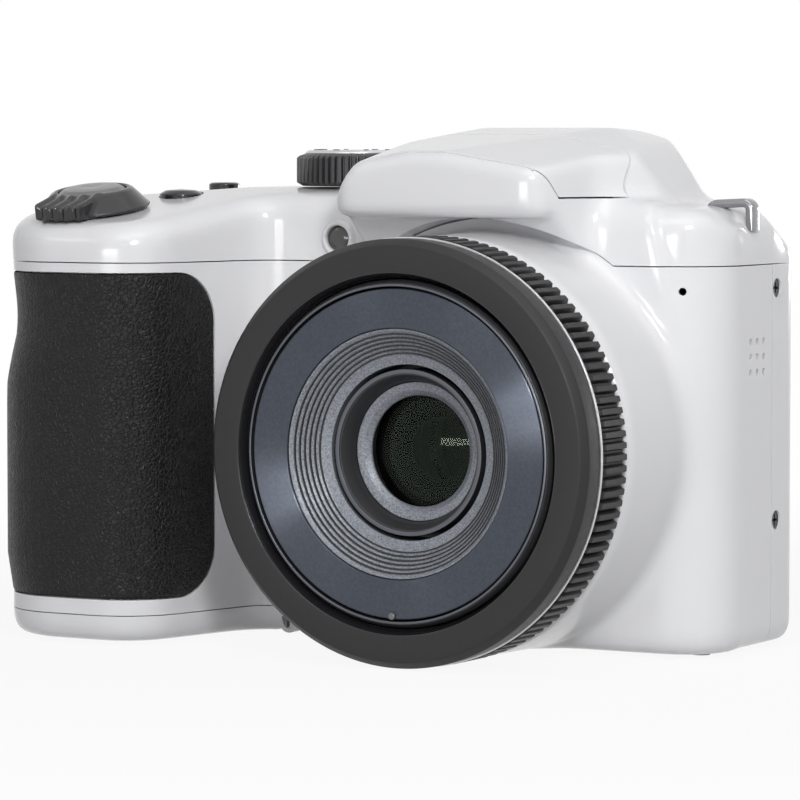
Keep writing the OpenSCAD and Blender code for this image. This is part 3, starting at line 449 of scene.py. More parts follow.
def surface(name, colour, rough, metal=0.0, tint=0.05, tint_scale=90.0, gloss=0.05, gloss_scale=900.0,
            grain=0.000006, grain_scale=2600.0, **sockets):
    """Plastic, paint or metal: mottled colour, uneven gloss and a fine grain, all in object space."""
    mat = bpy.data.materials.new(name)
    mat.use_nodes = True
    tree = mat.node_tree
    shader = tree.nodes["Principled BSDF"]
    shader.inputs["Metallic"].default_value = metal
    for key, value in sockets.items():
        shader.inputs[key.replace("_", " ")].default_value = value
    where = node(tree, "ShaderNodeTexCoord").outputs["Object"]
    patch = node(tree, "ShaderNodeTexNoise", Scale=tint_scale, Detail=4.0)
    speck = node(tree, "ShaderNodeTexNoise", Scale=gloss_scale, Detail=3.0)
    bumps = node(tree, "ShaderNodeTexNoise", Scale=grain_scale, Detail=2.0)
    for n in (patch, speck, bumps):
        tree.links.new(where, n.inputs["Vector"])
    ramp = node(tree, "ShaderNodeValToRGB")
    for stop, at, share in zip(ramp.color_ramp.elements, (0.3, 0.7), (1 - tint, 1 + tint)):
        stop.position = at
        stop.color = [min(c * share, 1) for c in colour] + [1]
    tree.links.new(patch.outputs["Fac"], ramp.inputs["Fac"])
    tree.links.new(ramp.outputs["Color"], shader.inputs["Base Color"])
    shader.inputs["Roughness"].default_value = rough
    if gloss:
        spread = node(tree, "ShaderNodeMapRange")
        spread.inputs["From Min"].default_value, spread.inputs["From Max"].default_value = 0.25, 0.75
        spread.inputs["To Min"].default_value, spread.inputs["To Max"].default_value = rough - gloss, rough + gloss
        tree.links.new(speck.outputs["Fac"], spread.inputs["Value"])
        tree.links.new(spread.outputs["Result"], shader.inputs["Roughness"])
    if grain:
        bump = node(tree, "ShaderNodeBump", Strength=0.6, Distance=grain)
        tree.links.new(bumps.outputs["Fac"], bump.inputs["Height"])
        tree.links.new(bump.outputs["Normal"], shader.inputs["Normal"])
    return mat


def clear(name, colour, rough, ior, **sockets):
    """Clear glass or plastic. A coated glass has a lower index than bare glass, and a tinted reflection."""
    return surface(name, colour, rough, tint=0.01, gloss=0, grain=0, Transmission_Weight=1.0, IOR=ior, **sockets)


def leather(name, colour, rough):
    """Moulded rubber with a leather grain: small cells parted by creases."""
    mat = surface(name, colour, rough, tint=0.12, tint_scale=500.0, gloss=0.08, grain=0, Specular_IOR_Level=0.26)
    tree = mat.node_tree
    where = node(tree, "ShaderNodeTexCoord").outputs["Object"]
    drift = node(tree, "ShaderNodeTexNoise", Scale=700.0, Detail=2.0)
    tree.links.new(where, drift.inputs["Vector"])
    bent = node(tree, "ShaderNodeVectorMath", operation="MULTIPLY_ADD")
    bent.inputs[1].default_value = (0.0007, 0.0007, 0.0007)
    tree.links.new(drift.outputs["Color"], bent.inputs[0])
    tree.links.new(where, bent.inputs[2])
    cells = node(tree, "ShaderNodeTexVoronoi", feature="DISTANCE_TO_EDGE", Scale=1350.0)
    tree.links.new(bent.outputs["Vector"], cells.inputs["Vector"])
    crest = node(tree, "ShaderNodeMapRange", interpolation_type="SMOOTHSTEP")
    crest.inputs["From Max"].default_value = 0.22
    tree.links.new(cells.outputs["Distance"], crest.inputs["Value"])
    bump = node(tree, "ShaderNodeBump", Strength=1.0, Distance=0.00011)
    tree.links.new(crest.outputs["Result"], bump.inputs["Height"])
    tree.links.new(bump.outputs["Normal"], tree.nodes["Principled BSDF"].inputs["Normal"])
    return mat


def brushed(mat, axis):
    """Runs the grain of a metal round an axis."""
    tree = mat.node_tree
    radial = node(tree, "ShaderNodeTangent", direction_type="RADIAL", axis=axis)
    tree.links.new(radial.outputs["Tangent"], tree.nodes["Principled BSDF"].inputs["Tangent"])
    return mat


WHITE = surface("white_plastic", (0.76, 0.76, 0.775), 0.15, tint=0.002, tint_scale=30.0, gloss=0.01, gloss_scale=200.0,
                grain=0.0000008, grain_scale=900.0)
RUBBER = leather("grip_rubber", (0.005, 0.005, 0.005), 0.44)
BLACK = surface("black_satin", (0.024, 0.024, 0.026), 0.42, tint=0.08, gloss=0.06)
RING = surface("ring_black", (0.013, 0.013, 0.013), 0.50, tint=0.06, gloss=0.05, grain=0.000008,
               Specular_IOR_Level=0.38)
GLOSS = surface("black_gloss", (0.012, 0.012, 0.014), 0.16, tint=0.08, gloss=0.03)
GREY = surface("grey_plastic", (0.16, 0.16, 0.165), 0.38, tint=0.06)
BARREL = brushed(surface("barrel_paint", (0.080, 0.089, 0.109), 0.33, 1.0, tint=0.10, tint_scale=2500.0, gloss=0.03,
                         gloss_scale=4000.0, grain=0, Anisotropic=1.0, Anisotropic_Rotation=0.25), "Y")
RIM = surface("barrel_rim", (0.11, 0.115, 0.13), 0.32, 0.9, tint=0.05)
SPARKLE = surface("baffle_paint", (0.20, 0.213, 0.24), 0.46, 0.35, tint=0.45, tint_scale=3800.0, gloss=0.15,
                  gloss_scale=4200.0, grain=0.00002, grain_scale=4200.0)
INDEX = surface("index_paint", (0.72, 0.72, 0.72), 0.40, tint=0.03)
DARK_STEEL = surface("dark_screw", (0.09, 0.09, 0.095), 0.34, 1.0, tint=0.08)
LEVER = surface("lever_gloss", (0.020, 0.020, 0.022), 0.20, tint=0.08, gloss=0.04)
BUTTON = surface("button_metal", (0.17, 0.17, 0.175), 0.32, 0.6, tint=0.08)
SILVER = surface("silver_paint", (0.56, 0.56, 0.58), 0.30, 0.85, tint=0.06, tint_scale=900.0)
STEEL = surface("steel", (0.55, 0.55, 0.56), 0.30, 1.0, tint=0.05)
CHROME = surface("chrome", (0.30, 0.30, 0.31), 0.16, 1.0, tint=0.04)
GOLD = surface("gold_plate", (0.83, 0.62, 0.28), 0.25, 1.0, tint=0.05)
ALLOY = surface("pressed_alloy", (0.62, 0.63, 0.64), 0.42, 1.0, tint=0.05)
JACKET = surface("cell_jacket", (0.10, 0.16, 0.24), 0.30, 0.4, tint=0.06)
BOARD = surface("solder_mask", (0.02, 0.13, 0.05), 0.35, tint=0.15, tint_scale=700.0)
LENS_GLASS = clear("coated_glass", (0.86, 0.86, 0.84), 0.0, 1.20, Specular_Tint=(0.75, 1.0, 0.8, 1))
FLASH_GLASS = clear("flash_diffuser", (0.95, 0.96, 0.98), 0.12, 1.49)
SCREEN = surface("screen_glass", (0.010, 0.011, 0.013), 0.06, tint=0.05, gloss=0.02, grain=0.000001, Coat_Weight=0.6,
                 Coat_Roughness=0.03)
LAMP = surface("lamp_lens", (0.085, 0.083, 0.080), 0.12, tint=0.1, gloss=0.03)
FLOCK = surface("flock_black", (0.003, 0.003, 0.003), 0.9, tint=0.1, grain=0, Specular_IOR_Level=0.05)
RED = surface("red_dot", (0.45, 0.02, 0.02), 0.32, tint=0.05)

FINISHES = {"white_shell": WHITE, "grip_rubber": RUBBER, "black_satin": BLACK, "black_gloss": GLOSS,
            "grey_plastic": GREY, "barrel_grey": BARREL, "silver_paint": SILVER, "steel": STEEL, "chrome": CHROME,
            "gold": GOLD, "frame_metal": ALLOY, "cell_jacket": JACKET, "board": BOARD, "lens_glass": LENS_GLASS,
            "flash_plastic": FLASH_GLASS, "screen_glass": SCREEN, "amber": LAMP, "red": RED}
for part in frame["record"]["subparts"]:
    shown = frame["nodes"][part["node"]]
    shown.data.materials.clear()
    shown.data.materials.append(FINISHES[part["material_slot"]])
frame["nodes"]["cover_screws"].data.materials[0] = DARK_STEEL
frame["nodes"]["speaker"].data.materials[0] = BLACK

# Covers: one outer form and one hollow each, parted along the seams
GAP = 0.09
LID_GAP = 0.28
FAR = 150.0
STEP = 0.5
SOFTEN = 0.7
WALL, LID_WALL = 2.0, 1.6
BODY_INSIDE = (-83, -46, -2), (42, 19, 78)
TOP_INSIDE = (-83, -46, 57), (42, 19, 86)
LID_ARMS = (-14.0, 12.0)
HINGE_X, HINGE_Z, DOOR_Z = -39.5, 2.2, 5.0
HINGE_EARS = (-14.0, 3.0)
HINGE = Matrix(((1, 0, 0, HINGE_X), (0, 0, 1, 0), (0, -1, 0, HINGE_Z), (0, 0, 0, 1)))
SIDE_SCREWS = (20.8, 58.1)
BASE_SCREWS = ((33, -8), (33, 10.5), (-32, 10.5))
front_form = make("front_form", *field_mesh(front_field, (-84, -48, -3), (43, 20, 78), 1.2 * STEP, SOFTEN))
top_form = make("top_form", *field_mesh(top_field, (-84, -48, 55), (43, 20, 88), STEP, SOFTEN))


def hollow_form(field, wall, low, high, step):
    """The inside of a shell with a wall of so many mm."""
    return make("hollow", *field_mesh(lambda x, y, z: field(x, y, z) + wall, low, high, step))


def arch_form(grow):
    """The hollow of the brow over the lens."""
    return rod(ARCH + grow, 5, 70, LENS, 192)


def flash_room(inset):
    """Room of the flash: behind the brow's edge, above its seam and before a cylinder round the pin."""
    y0, z0 = -27.9 + inset, FLASH_Z + inset
    r = 12 + inset
    start = math.asin((z0 - PIVOT[1]) / r)
    arc = [(PIVOT[0] - r * math.cos(t), PIVOT[1] + r * math.sin(t)) for t in np.linspace(start, math.radians(84), 20)]
    across = Matrix(((0, 0, 1, 0), (1, 0, 0, 0), (0, 1, 0, 0), (0, 0, 0, 1)))
    room = make("room", *prism([(y0, z0)] + arc + [(arc[-1][0], 100), (y0, 100)], -25 + inset, 60, across))
    corner = [(-30, 60), (-22.6 + inset, 60), (-22.6 + inset, 70.5), (y0, 77.4), (-30, 77.4)]
    for ends in ((13.2 - inset, 70), (-70, -16.5 + inset)):
        boolean(room, "DIFFERENCE", prism(corner, *ends, across))
    return room


def top_cover():
    top = copy(top_form, "top")
    hollow = hollow_form(top_field, WALL, *TOP_INSIDE, 1.0)
    room = flash_room(0)
    boolean(hollow, "DIFFERENCE", arch_form(WALL))
    boolean(top, "DIFFERENCE", box((-FAR, -FAR, 0), (FAR, FAR, SEAM_Z + GAP)), hollow, arch_form(0), room)
    drop(room)
    drop(hollow)
    boolean(top, "DIFFERENCE", rod(4.7, -12, 12, GRIP_TOP), rod(2.1, -9, 9, upright(*DIAL_AT, DECK_Z), 48),
            rod(3.75, -9, 9, upright(*POWER_AT, 72.6)), rod(2.75, -9, 9, upright(*FUNCTION_AT, DECK_Z)),
            rod(2.1, -5, 5, on_front(*LAMP_AT)))
    finish(top, "top_cover_shell", "body", WHITE, "white_shell", "top_cover")


def flash_tray():
    """The floor under the flash lid."""
    shape = field_mesh(lambda x, y, z: meet(0.2, top_field(x, y, z) + 1.7, z - 72.3, 71.3 - z, -26.0 - y, y + 5.5),
                       (-26, -28, 70.5), (30, -4, 73), 0.5)
    piece("flash_tray", shape, "body", BLACK, "black_satin")


def flash_lid():
    """The lid: what the top form has in the flash's room, hollowed, with two arms to its pin."""
    lid = copy(top_form, "lid")
    hollow = hollow_form(top_field, LID_WALL, *TOP_INSIDE, 1.0)
    room = flash_room(LID_GAP)
    boolean(lid, "INTERSECT", room)
    boolean(lid, "DIFFERENCE", hollow)
    drop(room)
    drop(hollow)
    for x in LID_ARMS:
        boolean(lid, "UNION", box((x - 1, -24.3, 72.9), (x + 1, -13.8, 77.0)),
                box((x - 1, -16, 72.8), (x + 1, -1, 74)),
                turned([(1.05, -1), (2.6, -1), (2.6, 1), (1.05, 1)], on_right(*PIVOT, x), 48))
    finish(lid, "flash_lid", "flash", WHITE, "white_shell", "flash_cover")


def hinge_rod(inner, outer, low, high):
    """A tube about the pin of the battery door."""
    return turned([(inner, low), (outer, low), (outer, high), (inner, high)], HINGE, 48)


def parted_shell():
    """Front cover, rear cover and battery door, cut from one shell."""
    shell = copy(front_form, "shell")
    hollow = hollow_form(body_field, WALL, *BODY_INSIDE, 1.2)
    boolean(shell, "DIFFERENCE", hollow, rod(29.1, 6, 60, LENS, 160))
    drop(hollow)
    upper = make("upper", *box((-FAR, -FAR, SEAM_Z - GAP), (FAR, FAR, 120)))
    boolean(upper, "DIFFERENCE", arch_form(-0.15))
    door_room = [box((-FAR, -FAR, -20), (HINGE_X, FAR, DOOR_Z + 0.1)), hinge_rod(0, 2.45, -FAR, FAR),
                 box((HINGE_X, -FAR, -20), (HINGE_X + 2.45, FAR, HINGE_Z))]
    front = copy(shell, "front")
    boolean(front, "DIFFERENCE", upper, box((-FAR, SPLIT_Y - GAP, -20), (FAR, FAR, 120)), *door_room)
    rear = copy(shell, "rear")
    boolean(rear, "DIFFERENCE", box((-FAR, -FAR, -20), (FAR, SPLIT_Y + GAP, 120)),
            box((-FAR, -FAR, SEAM_Z - GAP), (FAR, FAR, 120)), *door_room)
    door = copy(shell, "door")
    boolean(door, "INTERSECT", box((-FAR, -FAR, -20), (HINGE_X - 0.15, FAR, DOOR_Z - 0.05)))
    drop(upper)
    drop(shell)
    return front, rear, door


def hinge(front, door):
    """A barrel along the battery door, and ears of the front cover in its gaps."""
    barrel = make("barrel", *hinge_rod(1.05, 2.1, -FAR, FAR))
    boolean(barrel, "INTERSECT", front_form)
    boolean(door, "UNION", barrel)
    drop(barrel)
    for y in HINGE_EARS:
        boolean(front, "UNION", hinge_rod(1.0, 1.9, y, y + 2),
                box((HINGE_X + 1.3, y, 1.2), (HINGE_X + 4, y + 2, 4.1)))
        boolean(door, "DIFFERENCE", box((HINGE_X - 2.75, y - 0.3, -20), (FAR, y + 2.3, 20)))


def screw_holes():
    places = [on_right(7.2, z, 38.7) for z in SIDE_SCREWS] + [on_left(7.2, z, -80.2) for z in SIDE_SCREWS]
    places += [on_base(x, y, 0.3) for x, y in BASE_SCREWS]
    return [rod(1.56, -1.2, 3, p, 40) for p in places]


def front_holes():
    """Holes of the microphone, the tripod socket and the speaker."""
    mic = (Matrix.Translation((RIGHT_X - CORNER_R, FRONT_Y + CORNER_R, 58.1))
           @ Matrix.Rotation(math.radians(-66.5), 4, "Z")
           @ Matrix.Translation((CORNER_R, 0, 0)) @ Matrix.Rotation(math.radians(90), 4, "Y"))
    pitch = 2.45
    speaker = [on_right(-0.3 + pitch * i, 47.4 + pitch * k) for i in (-1, 0, 1) for k in (-1, 0, 1)]
    return [rod(0.62, -3, 4, mic, 32), rod(4.85, -5, 8, upright(0, 0, 0)),
            *[rod(0.55, -4, 4, place, 24) for place in speaker]]


def grown(outline, by):
    c = outline.mean(0)
    d = outline - c
    return c + d * (1 + by / np.abs(d).max(0))


def rear_holes(clear_by=0.15):
    """Holes of the screen, the keys and the pad."""
    window = rounded([(-37, 8.48, 3), (31, 8.48, 3), (31, 58.48, 3), (-37, 58.48, 3)])
    along_y = Matrix(((1, 0, 0, 0), (0, 0, -1, 0), (0, 1, 0, 0), (0, 0, 0, 1)))
    round_ones = [(at, KEY_R) for at in KEYS_AT.values()] + [(PAD_AT, PAD_R)]
    return [prism(grown(window, clear_by), -20, -10, along_y),
            *[rod(r + clear_by, -8, 8, on_back(*at)) for at, r in round_ones]]


top_cover()
flash_tray()
flash_lid()
drop(top_form)
front, rear, door = parted_shell()
hinge(front, door)
latch_thumb = box((-66.15, -31.15, -2), (-59.85, -17.85, 1.3))
latch_stem = box((-64.15, -29.15, -2), (-61.85, -22.85, 9))
boolean(door, "DIFFERENCE", latch_thumb, latch_stem)
boolean(front, "DIFFERENCE", *screw_holes(), *front_holes())
boolean(rear, "DIFFERENCE", *screw_holes(), *rear_holes())
finish(rear, "rear_cover_shell", "body", WHITE, "white_shell", "rear_cover")

# Grip skin in its recess
SKIN_LOW, SKIN_HIGH = 7.7, 60.3


def skin_outline(reach, corner):
    return rounded([(-200, SKIN_LOW, 0), (reach, SKIN_LOW, corner), (reach, SKIN_HIGH, corner), (-200, SKIN_HIGH, 0)])


SKIN_INNER, SKIN_OUTER = skin_outline(-27.0, 8), skin_outline(4.3, 1.5)


def skin_edge(x, y, z):
    """Distance to the edge of the skin, which reaches further back outside the grip than inside it."""
    return np.where(x > -62, outline_distance(SKIN_INNER, y, z)[0], outline_distance(SKIN_OUTER, y, z)[0])


def skin_field(x, y, z):
    """The skin, proud of the covers below the waist of the grip."""
    swell = np.clip((50 - z) / 8, 0, 1) * np.clip((z - 8) / 6, 0, 1) * np.clip((-60 - x) / 14, 0, 1)
    f = front_field(x, y, z) - 0.9 * swell
    return meet(0.45, f - 0.05, -(f + 1.0 + 0.9 * swell), skin_edge(x, y, z) + 0 * f)


def recess_field(x, y, z):
    f = front_field(x, y, z)
    return np.maximum(np.maximum(-(f + 1.05), f - 3.0), skin_edge(x, y, z) - 0.12 + 0 * f)


recess = make("recess", *field_mesh(recess_field, (-86, -50, 4), (-38, 9, 64), 0.5))
boolean(front, "DIFFERENCE", recess)
drop(recess)
finish(front, "front_cover_shell", "body", WHITE, "white_shell", "front_cover")
finish(door, "battery_door_shell", "battery_door", WHITE, "white_shell", "battery_door")
piece("grip_skin_grain", field_mesh(skin_field, (-83.5, -47, 5.5), (-44, 5.5, 62), 0.5),
      "body", RUBBER, "grip_rubber", "grip_skin", angle=60)
drop(front_form)

# Lens, in outlines of radius and height along its axis
turned_piece("name_ring", [(27.2, 44.0), (33.2, 44.0), (33.25, 47.7, 0.4), (32.2, 48.95, 0.4), (28.1, 49.0, 0.15),
                           (28.1, 47.4, 0.1), (27.2, 47.2, 0.1)],
             LENS, 256, "body", RING, "black_satin", "lens_name_ring")
turned_piece("accent_ring", [(28.65, 43.5), (33.42, 43.5), (33.42, 44.0), (28.65, 44.0)],
             LENS, 256, "body", SILVER, "silver_paint", "lens_accent_ring", r=0.1)
piece("rib_ring", ribbed(LENS, 116, 32.35, 33.45, 28.65,
                         [(34.5, 0.0, 0.5), (34.75, 0.0, 0.0), (35.1, 0.75, 0.0), (35.5, 1.0, 0.0), (42.4, 1.0, 0.0),
                          (42.8, 0.75, 0.0), (43.2, 0.0, 0.0), (43.45, 0.0, 0.5)]),
      "body", RING, "black_satin", "lens_rib_ring", angle=25)
turned_piece("outer_barrel", [(25.9, 8), (26.9, 8), (26.9, 47.4, 0.2), (26.4, 48.2, 0.2), (25.9, 48.2, 0.1)],
             LENS, 192, "zoom_outer", BLACK, "barrel_grey", "zoom_barrel_outer")
turned_piece("barrel_edge", [(25.88, 48.0), (26.38, 48.0), (26.30, 48.42, 0.12), (25.9, 48.5, 0.12)],
             LENS, 192, "zoom_outer", RIM, "barrel_grey", r=0.05)
turned_piece("ring_throat", [(27.25, 43.9), (28.6, 43.9), (28.6, 48.0), (28.15, 49.02, 0.1), (27.95, 48.9, 0.1),
                             (27.25, 47.3, 0.3)],
             LENS, 192, "body", GLOSS, "black_satin", r=0.05)
turned_piece("inner_barrel", [(24.6, 10), (25.6, 10), (25.6, 48.2, 0.3), (19.45, 48.2, 0.25), (19.45, 46.8, 0.1),
                              (24.6, 46.8, 0.1)],
             LENS, 192, "zoom_inner", BARREL, "barrel_grey", "zoom_barrel_inner")

# Baffle: a cone of ridges, with a black ring in the foot of each as painted shade in its crease
RIDGES, RIDGE_IN, RIDGE_DOWN = 6, 0.62, 0.5
cone = [(24.4, 41.6), (24.4, 42.7), (20.6, 42.7), (19.35, 46.5), (19.35, 47.9)]
for k in range(RIDGES):
    r, h = 19.05 - RIDGE_IN * k, 47.75 - RIDGE_DOWN * k
    cone += [(r, h), (r - 0.42, h - 0.34), (r - 0.42, h - 0.55), (r - RIDGE_IN, h - 0.55)]
cone += [(15.2, 44.6), (13.7, 44.2), (13.7, 41.6)]
turned_piece("baffle", cone, LENS, 192, "zoom_inner", SPARKLE, "grey_plastic", "lens_baffle", r=0.05)
# Painted shade: a black ring in the crease at the foot of each ridge
for k in range(RIDGES):
    r, h = 18.60 - RIDGE_IN * k, 47.42 - RIDGE_DOWN * k
    turned_piece("baffle_painted_shade_%d" % k, [(r - 0.14, h - 0.24), (r + 0.02, h - 0.24), (r + 0.02, h + 0.14),
                                          (r - 0.14, h + 0.14)],
                 LENS, 192, "zoom_inner", BLACK, "black_satin", r=0.05)

# Front glass in its cell
cell = soft([(10.95, 36.6), (9.85, 36.6), (9.85, 35.6), (16.0, 35.6), (16.0, 41.4), (13.9, 41.4), (13.9, 36.6),
             (12.9, 36.6), (12.9, 44.2, 0.15), (12.1, 44.2, 0.1), (11.2, 42.5), (10.95, 41.5)], 0.08)
piece("lens_cell", turned(cell[::-1], LENS, 160), "zoom_inner", BLACK, "black_satin", "front_lens_cell")
turned_piece("cell_edge", [(12.2, 44.15), (12.95, 44.15), (12.95, 44.4), (12.3, 44.4)],
             LENS, 160, "zoom_inner", RIM, "barrel_grey", r=0.06)
turned_piece("glass_ring", [(8.65, 39.95), (10.85, 39.95), (10.85, 41.25), (9.6, 41.0), (8.75, 40.3)],
             LENS, 160, "zoom_inner", SPARKLE, "grey_plastic", "front_lens_retainer", r=0.1)


def lens_shape(edge, low, high, crown, steps=24):
    """A glass between two heights on the lens axis, more curved in front than behind."""
    r = [edge * i / steps for i in range(steps + 1)]
    lower = [(a, low + 0.2 * crown * (a / edge) ** 2) for a in r]
    upper = [(a, high - crown * (a / edge) ** 2) for a in reversed(r)]
    return turned(lower + upper, LENS, 128)


piece("front_glass", lens_shape(10.8, 36.75, 40.35, 2.2), "zoom_inner", LENS_GLASS, "lens_glass", "front_lens",
      angle=40)
turned_piece("lens_stop", [(4.9, 33.0), (9.8, 35.9), (9.8, 36.3), (4.7, 33.3)],
             LENS, 128, "zoom_inner", FLOCK, "black_satin", r=0.05)
turned_piece("stop_peg", [(0, 48.1), (0.55, 48.1), (0.55, 48.6, 0.15), (0, 48.65)],
             LENS @ Matrix.Translation((-0.6, -25.1, 0)), 32, "zoom_inner", GREY, "silver_paint", r=0.05)

# Controls on top
DIAL = upright(*DIAL_AT, DECK_Z + 0.2)
piece("dial", ribbed(DIAL, 52, 9.25, 9.85, 6.0,
                     [(0.0, 0.0, 0.4), (0.3, 0.2, 0.0), (0.6, 1.0, 0.0), (4.6, 1.0, 0.0), (5.0, 0.4, 0.1),
                      (5.2, 0.0, 0.5), (5.45, 0.0, 1.0)]),
      "dial", BLACK, "black_satin", "mode_dial")
turned_piece("dial_cap", [(0, 4.8), (8.3, 4.8), (8.3, 5.6), (7.9, 5.9, 0.3), (0, 6.0)],
             DIAL, 96, "dial", SILVER, "silver_paint", "mode_dial_cap")


def lever_field(x, y, z):
    """Zoom lever about the shutter button, in the grip top's own frame: a cone and a ribbed tab."""
    r = np.sqrt(x * x + y * y)
    wave = 0.32 * np.cos(2 * math.pi * x / 2.05)
    cone = meet(0.4, (r - 9.3 + 0.93 * np.maximum(z - 0.7, 0)) * 0.73, 0.3 - z, z - 3.7)
    tab = meet(0.5, np.abs(x) - 4.6, r - 11.3 - wave, y + 4.0, 0.35 - z, z - 3.0 - wave - 0.12 * (y + 8))
    return meet(0.25, join(0.8, cone, tab), 5.75 - r)


lever, lever_faces = field_mesh(lever_field, (-11, -13, -0.5), (11, 11, 4.5), 0.24)
piece("lever", (moved(GRIP_TOP, lever), lever_faces), "lever", LEVER, "grey_plastic", "zoom_lever", angle=50)
turned_piece("shutter", [(0, -3.5), (2.6, -3.5), (2.6, 1.9), (5.6, 1.9), (5.6, 3.3, 0.5), (4.6, 4.0, 0.8),
                         (2.6, 4.15, 1.5), (0, 4.05)],
             GRIP_TOP, 96, "shutter", BUTTON, "silver_paint", "shutter_button", r=0.1)
turned_piece("lever_collar", [(2.75, -1.9), (4.5, -1.9), (4.5, 0.3), (5.9, 0.3), (5.9, 0.7), (2.75, 0.7)],
             GRIP_TOP, 64, "lever", BLACK, "grey_plastic", r=0.05)
turned_piece("power_key", [(0, -3.2), (4.2, -3.2), (4.2, -2.3), (3.6, -2.2), (3.6, 0.2, 0.4), (2.6, 0.8, 1.2),
                           (0, 1.0)],
             upright(*POWER_AT, 72.56), 72, "power", GLOSS, "black_gloss", "power_button", r=0.1)
turned_piece("function_key", [(0, -3.2), (3.2, -3.2), (3.2, -2.3), (2.6, -2.2), (2.6, 0.3, 0.2), (2.1, 0.55, 0.3),
                              (0, 0.6)],
             upright(*FUNCTION_AT, DECK_Z), 64, "function", GLOSS, "black_gloss", "function_button", r=0.1)
turned_piece("lamp_ring", [(2.08, -1.0), (3.1, -1.0), (3.1, 0.2, 0.3), (2.75, 0.75, 0.3), (2.2, 0.75, 0.2),
                           (2.08, 0.3, 0.1)],
             on_front(*LAMP_AT), 64, "body", WHITE, "white_shell", r=0.05)
turned_piece("lamp_lens", [(0, -2.3), (2.0, -2.3), (2.0, 0.1, 0.2), (1.2, 0.36, 0.8), (0, 0.4)],
             on_front(*LAMP_AT), 64, "body", LAMP, "amber", "focus_lamp", r=0.05)


def swept(path, profile):
    """A closed profile drawn along a path in the x, z plane, with flat ends."""
    v, n = [], len(profile)
    for i, p in enumerate(path):
        a, b = path[max(i - 1, 0)], path[min(i + 1, len(path) - 1)]
        t = (np.array(b) - np.array(a)) / np.linalg.norm(np.array(b) - np.array(a))
        v += [(p[0] + t[1] * h, w, p[1] - t[0] * h) for w, h in profile]
    f = [(i * n + k, i * n + (k + 1) % n, (i + 1) * n + (k + 1) % n, (i + 1) * n + k)
         for i in range(len(path) - 1) for k in range(n)]
    return v, f + [tuple(range(n))[::-1], tuple(range(n * (len(path) - 1), n * len(path)))]


def strap_lug(side, outer, high):
    """A flat bar bent over the shoulder, with both ends in the cover. Side is 1 on the right, -1 on the left."""
    bar = rounded([(-2.3, -0.7, 0.3), (0.3, -0.7, 0.3), (0.3, 0.7, 0.3), (-2.3, 0.7, 0.3)], 30)
    bend = rounded([(outer - side * 9.4, high - 2.6, 0), (outer - side * 7.6, high - 0.1, 1.5),
                    (outer - side * 1.2, high + 0.2, 1.2), (outer - side * 1.2, high - 4.2, 0)], 15)
    lug = make("lug", *swept(bend, bar))
    if side < 0:
        lug.data.flip_normals()
    return lug


lugs, left_lug = strap_lug(1, 39.6, 71.7), strap_lug(-1, -81.1, 70.5)
boolean(lugs, "UNION", left_lug)
drop(left_lug)
finish(lugs, "lugs", "body", CHROME, "chrome", "strap_lugs", angle=40)

# Controls on the back, and marks on the pad and the dial
for name, at in KEYS_AT.items():
    turned_piece(name + "_key", [(0, -2.6), (3.2, -2.6), (3.2, -2.1), (KEY_R, -2.05), (KEY_R, 0.45, 0.25),
                                 (2.2, 0.7, 0.4), (0, 0.72)],
                 on_back(*at), 64, name, GREY if name == "record" else BLACK, "black_satin", name + "_button", r=0.05)
turned_piece("record_dot", [(0, 0.5), (1.2, 0.5), (1.2, 0.8, 0.1), (0, 0.85)],
             on_back(*KEYS_AT["record"]), 40, "record", RED, "red", r=0.05)
turned_piece("pad", [(0, -2.6), (9.6, -2.6), (9.6, -2.1), (PAD_R, -2.05), (PAD_R, 0.35, 0.3), (8.2, 0.7, 0.5),
                     (4.6, 0.45, 0.3), (4.3, -0.2, 0.1), (3.8, -0.2, 0.1), (3.8, 0.4, 0.25), (3.2, 0.65, 0.4),
                     (0, 0.68)],
             on_back(*PAD_AT), 96, "pad", BLACK, "black_satin", "pad_and_ok", r=0.05)
arrow = rounded([(-0.9, -0.5, 0.15), (0.9, -0.5, 0.15), (0, 0.8, 0.15)], 30)
for k in range(4):
    place = on_back(*PAD_AT) @ Matrix.Rotation(k * math.pi / 2, 4, "Z") @ Matrix.Translation((0, 6.5, 0))
    piece("pad_arrow_%d" % k, prism(arrow, 0.4, 0.75, place), "pad", INDEX, "silver_paint")
tick = rounded([(5.6, -0.22, 0.1), (7.2, -0.22, 0.1), (7.2, 0.22, 0.1), (5.6, 0.22, 0.1)], 30)
for k in range(8):
    place = upright(*DIAL_AT, DECK_Z + 6.1) @ Matrix.Rotation(k * math.pi / 4, 4, "Z")
    piece("dial_tick_%d" % k, prism(tick, -0.2, 0.16, place), "dial", BLACK, "black_satin")

# Stage, light and camera
def backdrop_rays(tree):
    """1 for rays that show the background: from the camera, off a glossy surface or through a clear one."""
    path = node(tree, "ShaderNodeLightPath")
    total = path.outputs["Is Camera Ray"]
    for kind in ("Is Glossy Ray", "Is Transmission Ray"):
        larger = node(tree, "ShaderNodeMath", operation="MAXIMUM")
        tree.links.new(total, larger.inputs[0])
        tree.links.new(path.outputs[kind], larger.inputs[1])
        total = larger.outputs[0]
    return total


def mixed(tree, share, plain, white, target):
    mix = node(tree, "ShaderNodeMixShader")
    tree.links.new(share, mix.inputs["Fac"])
    tree.links.new(plain.outputs[0], mix.inputs[1])
    tree.links.new(white.outputs[0], mix.inputs[2])
    tree.links.new(mix.outputs[0], target)


def new_tree(owner):
    """The node tree of a material or world, emptied."""
    owner.use_nodes = True
    owner.node_tree.nodes.clear()
    return owner.node_tree


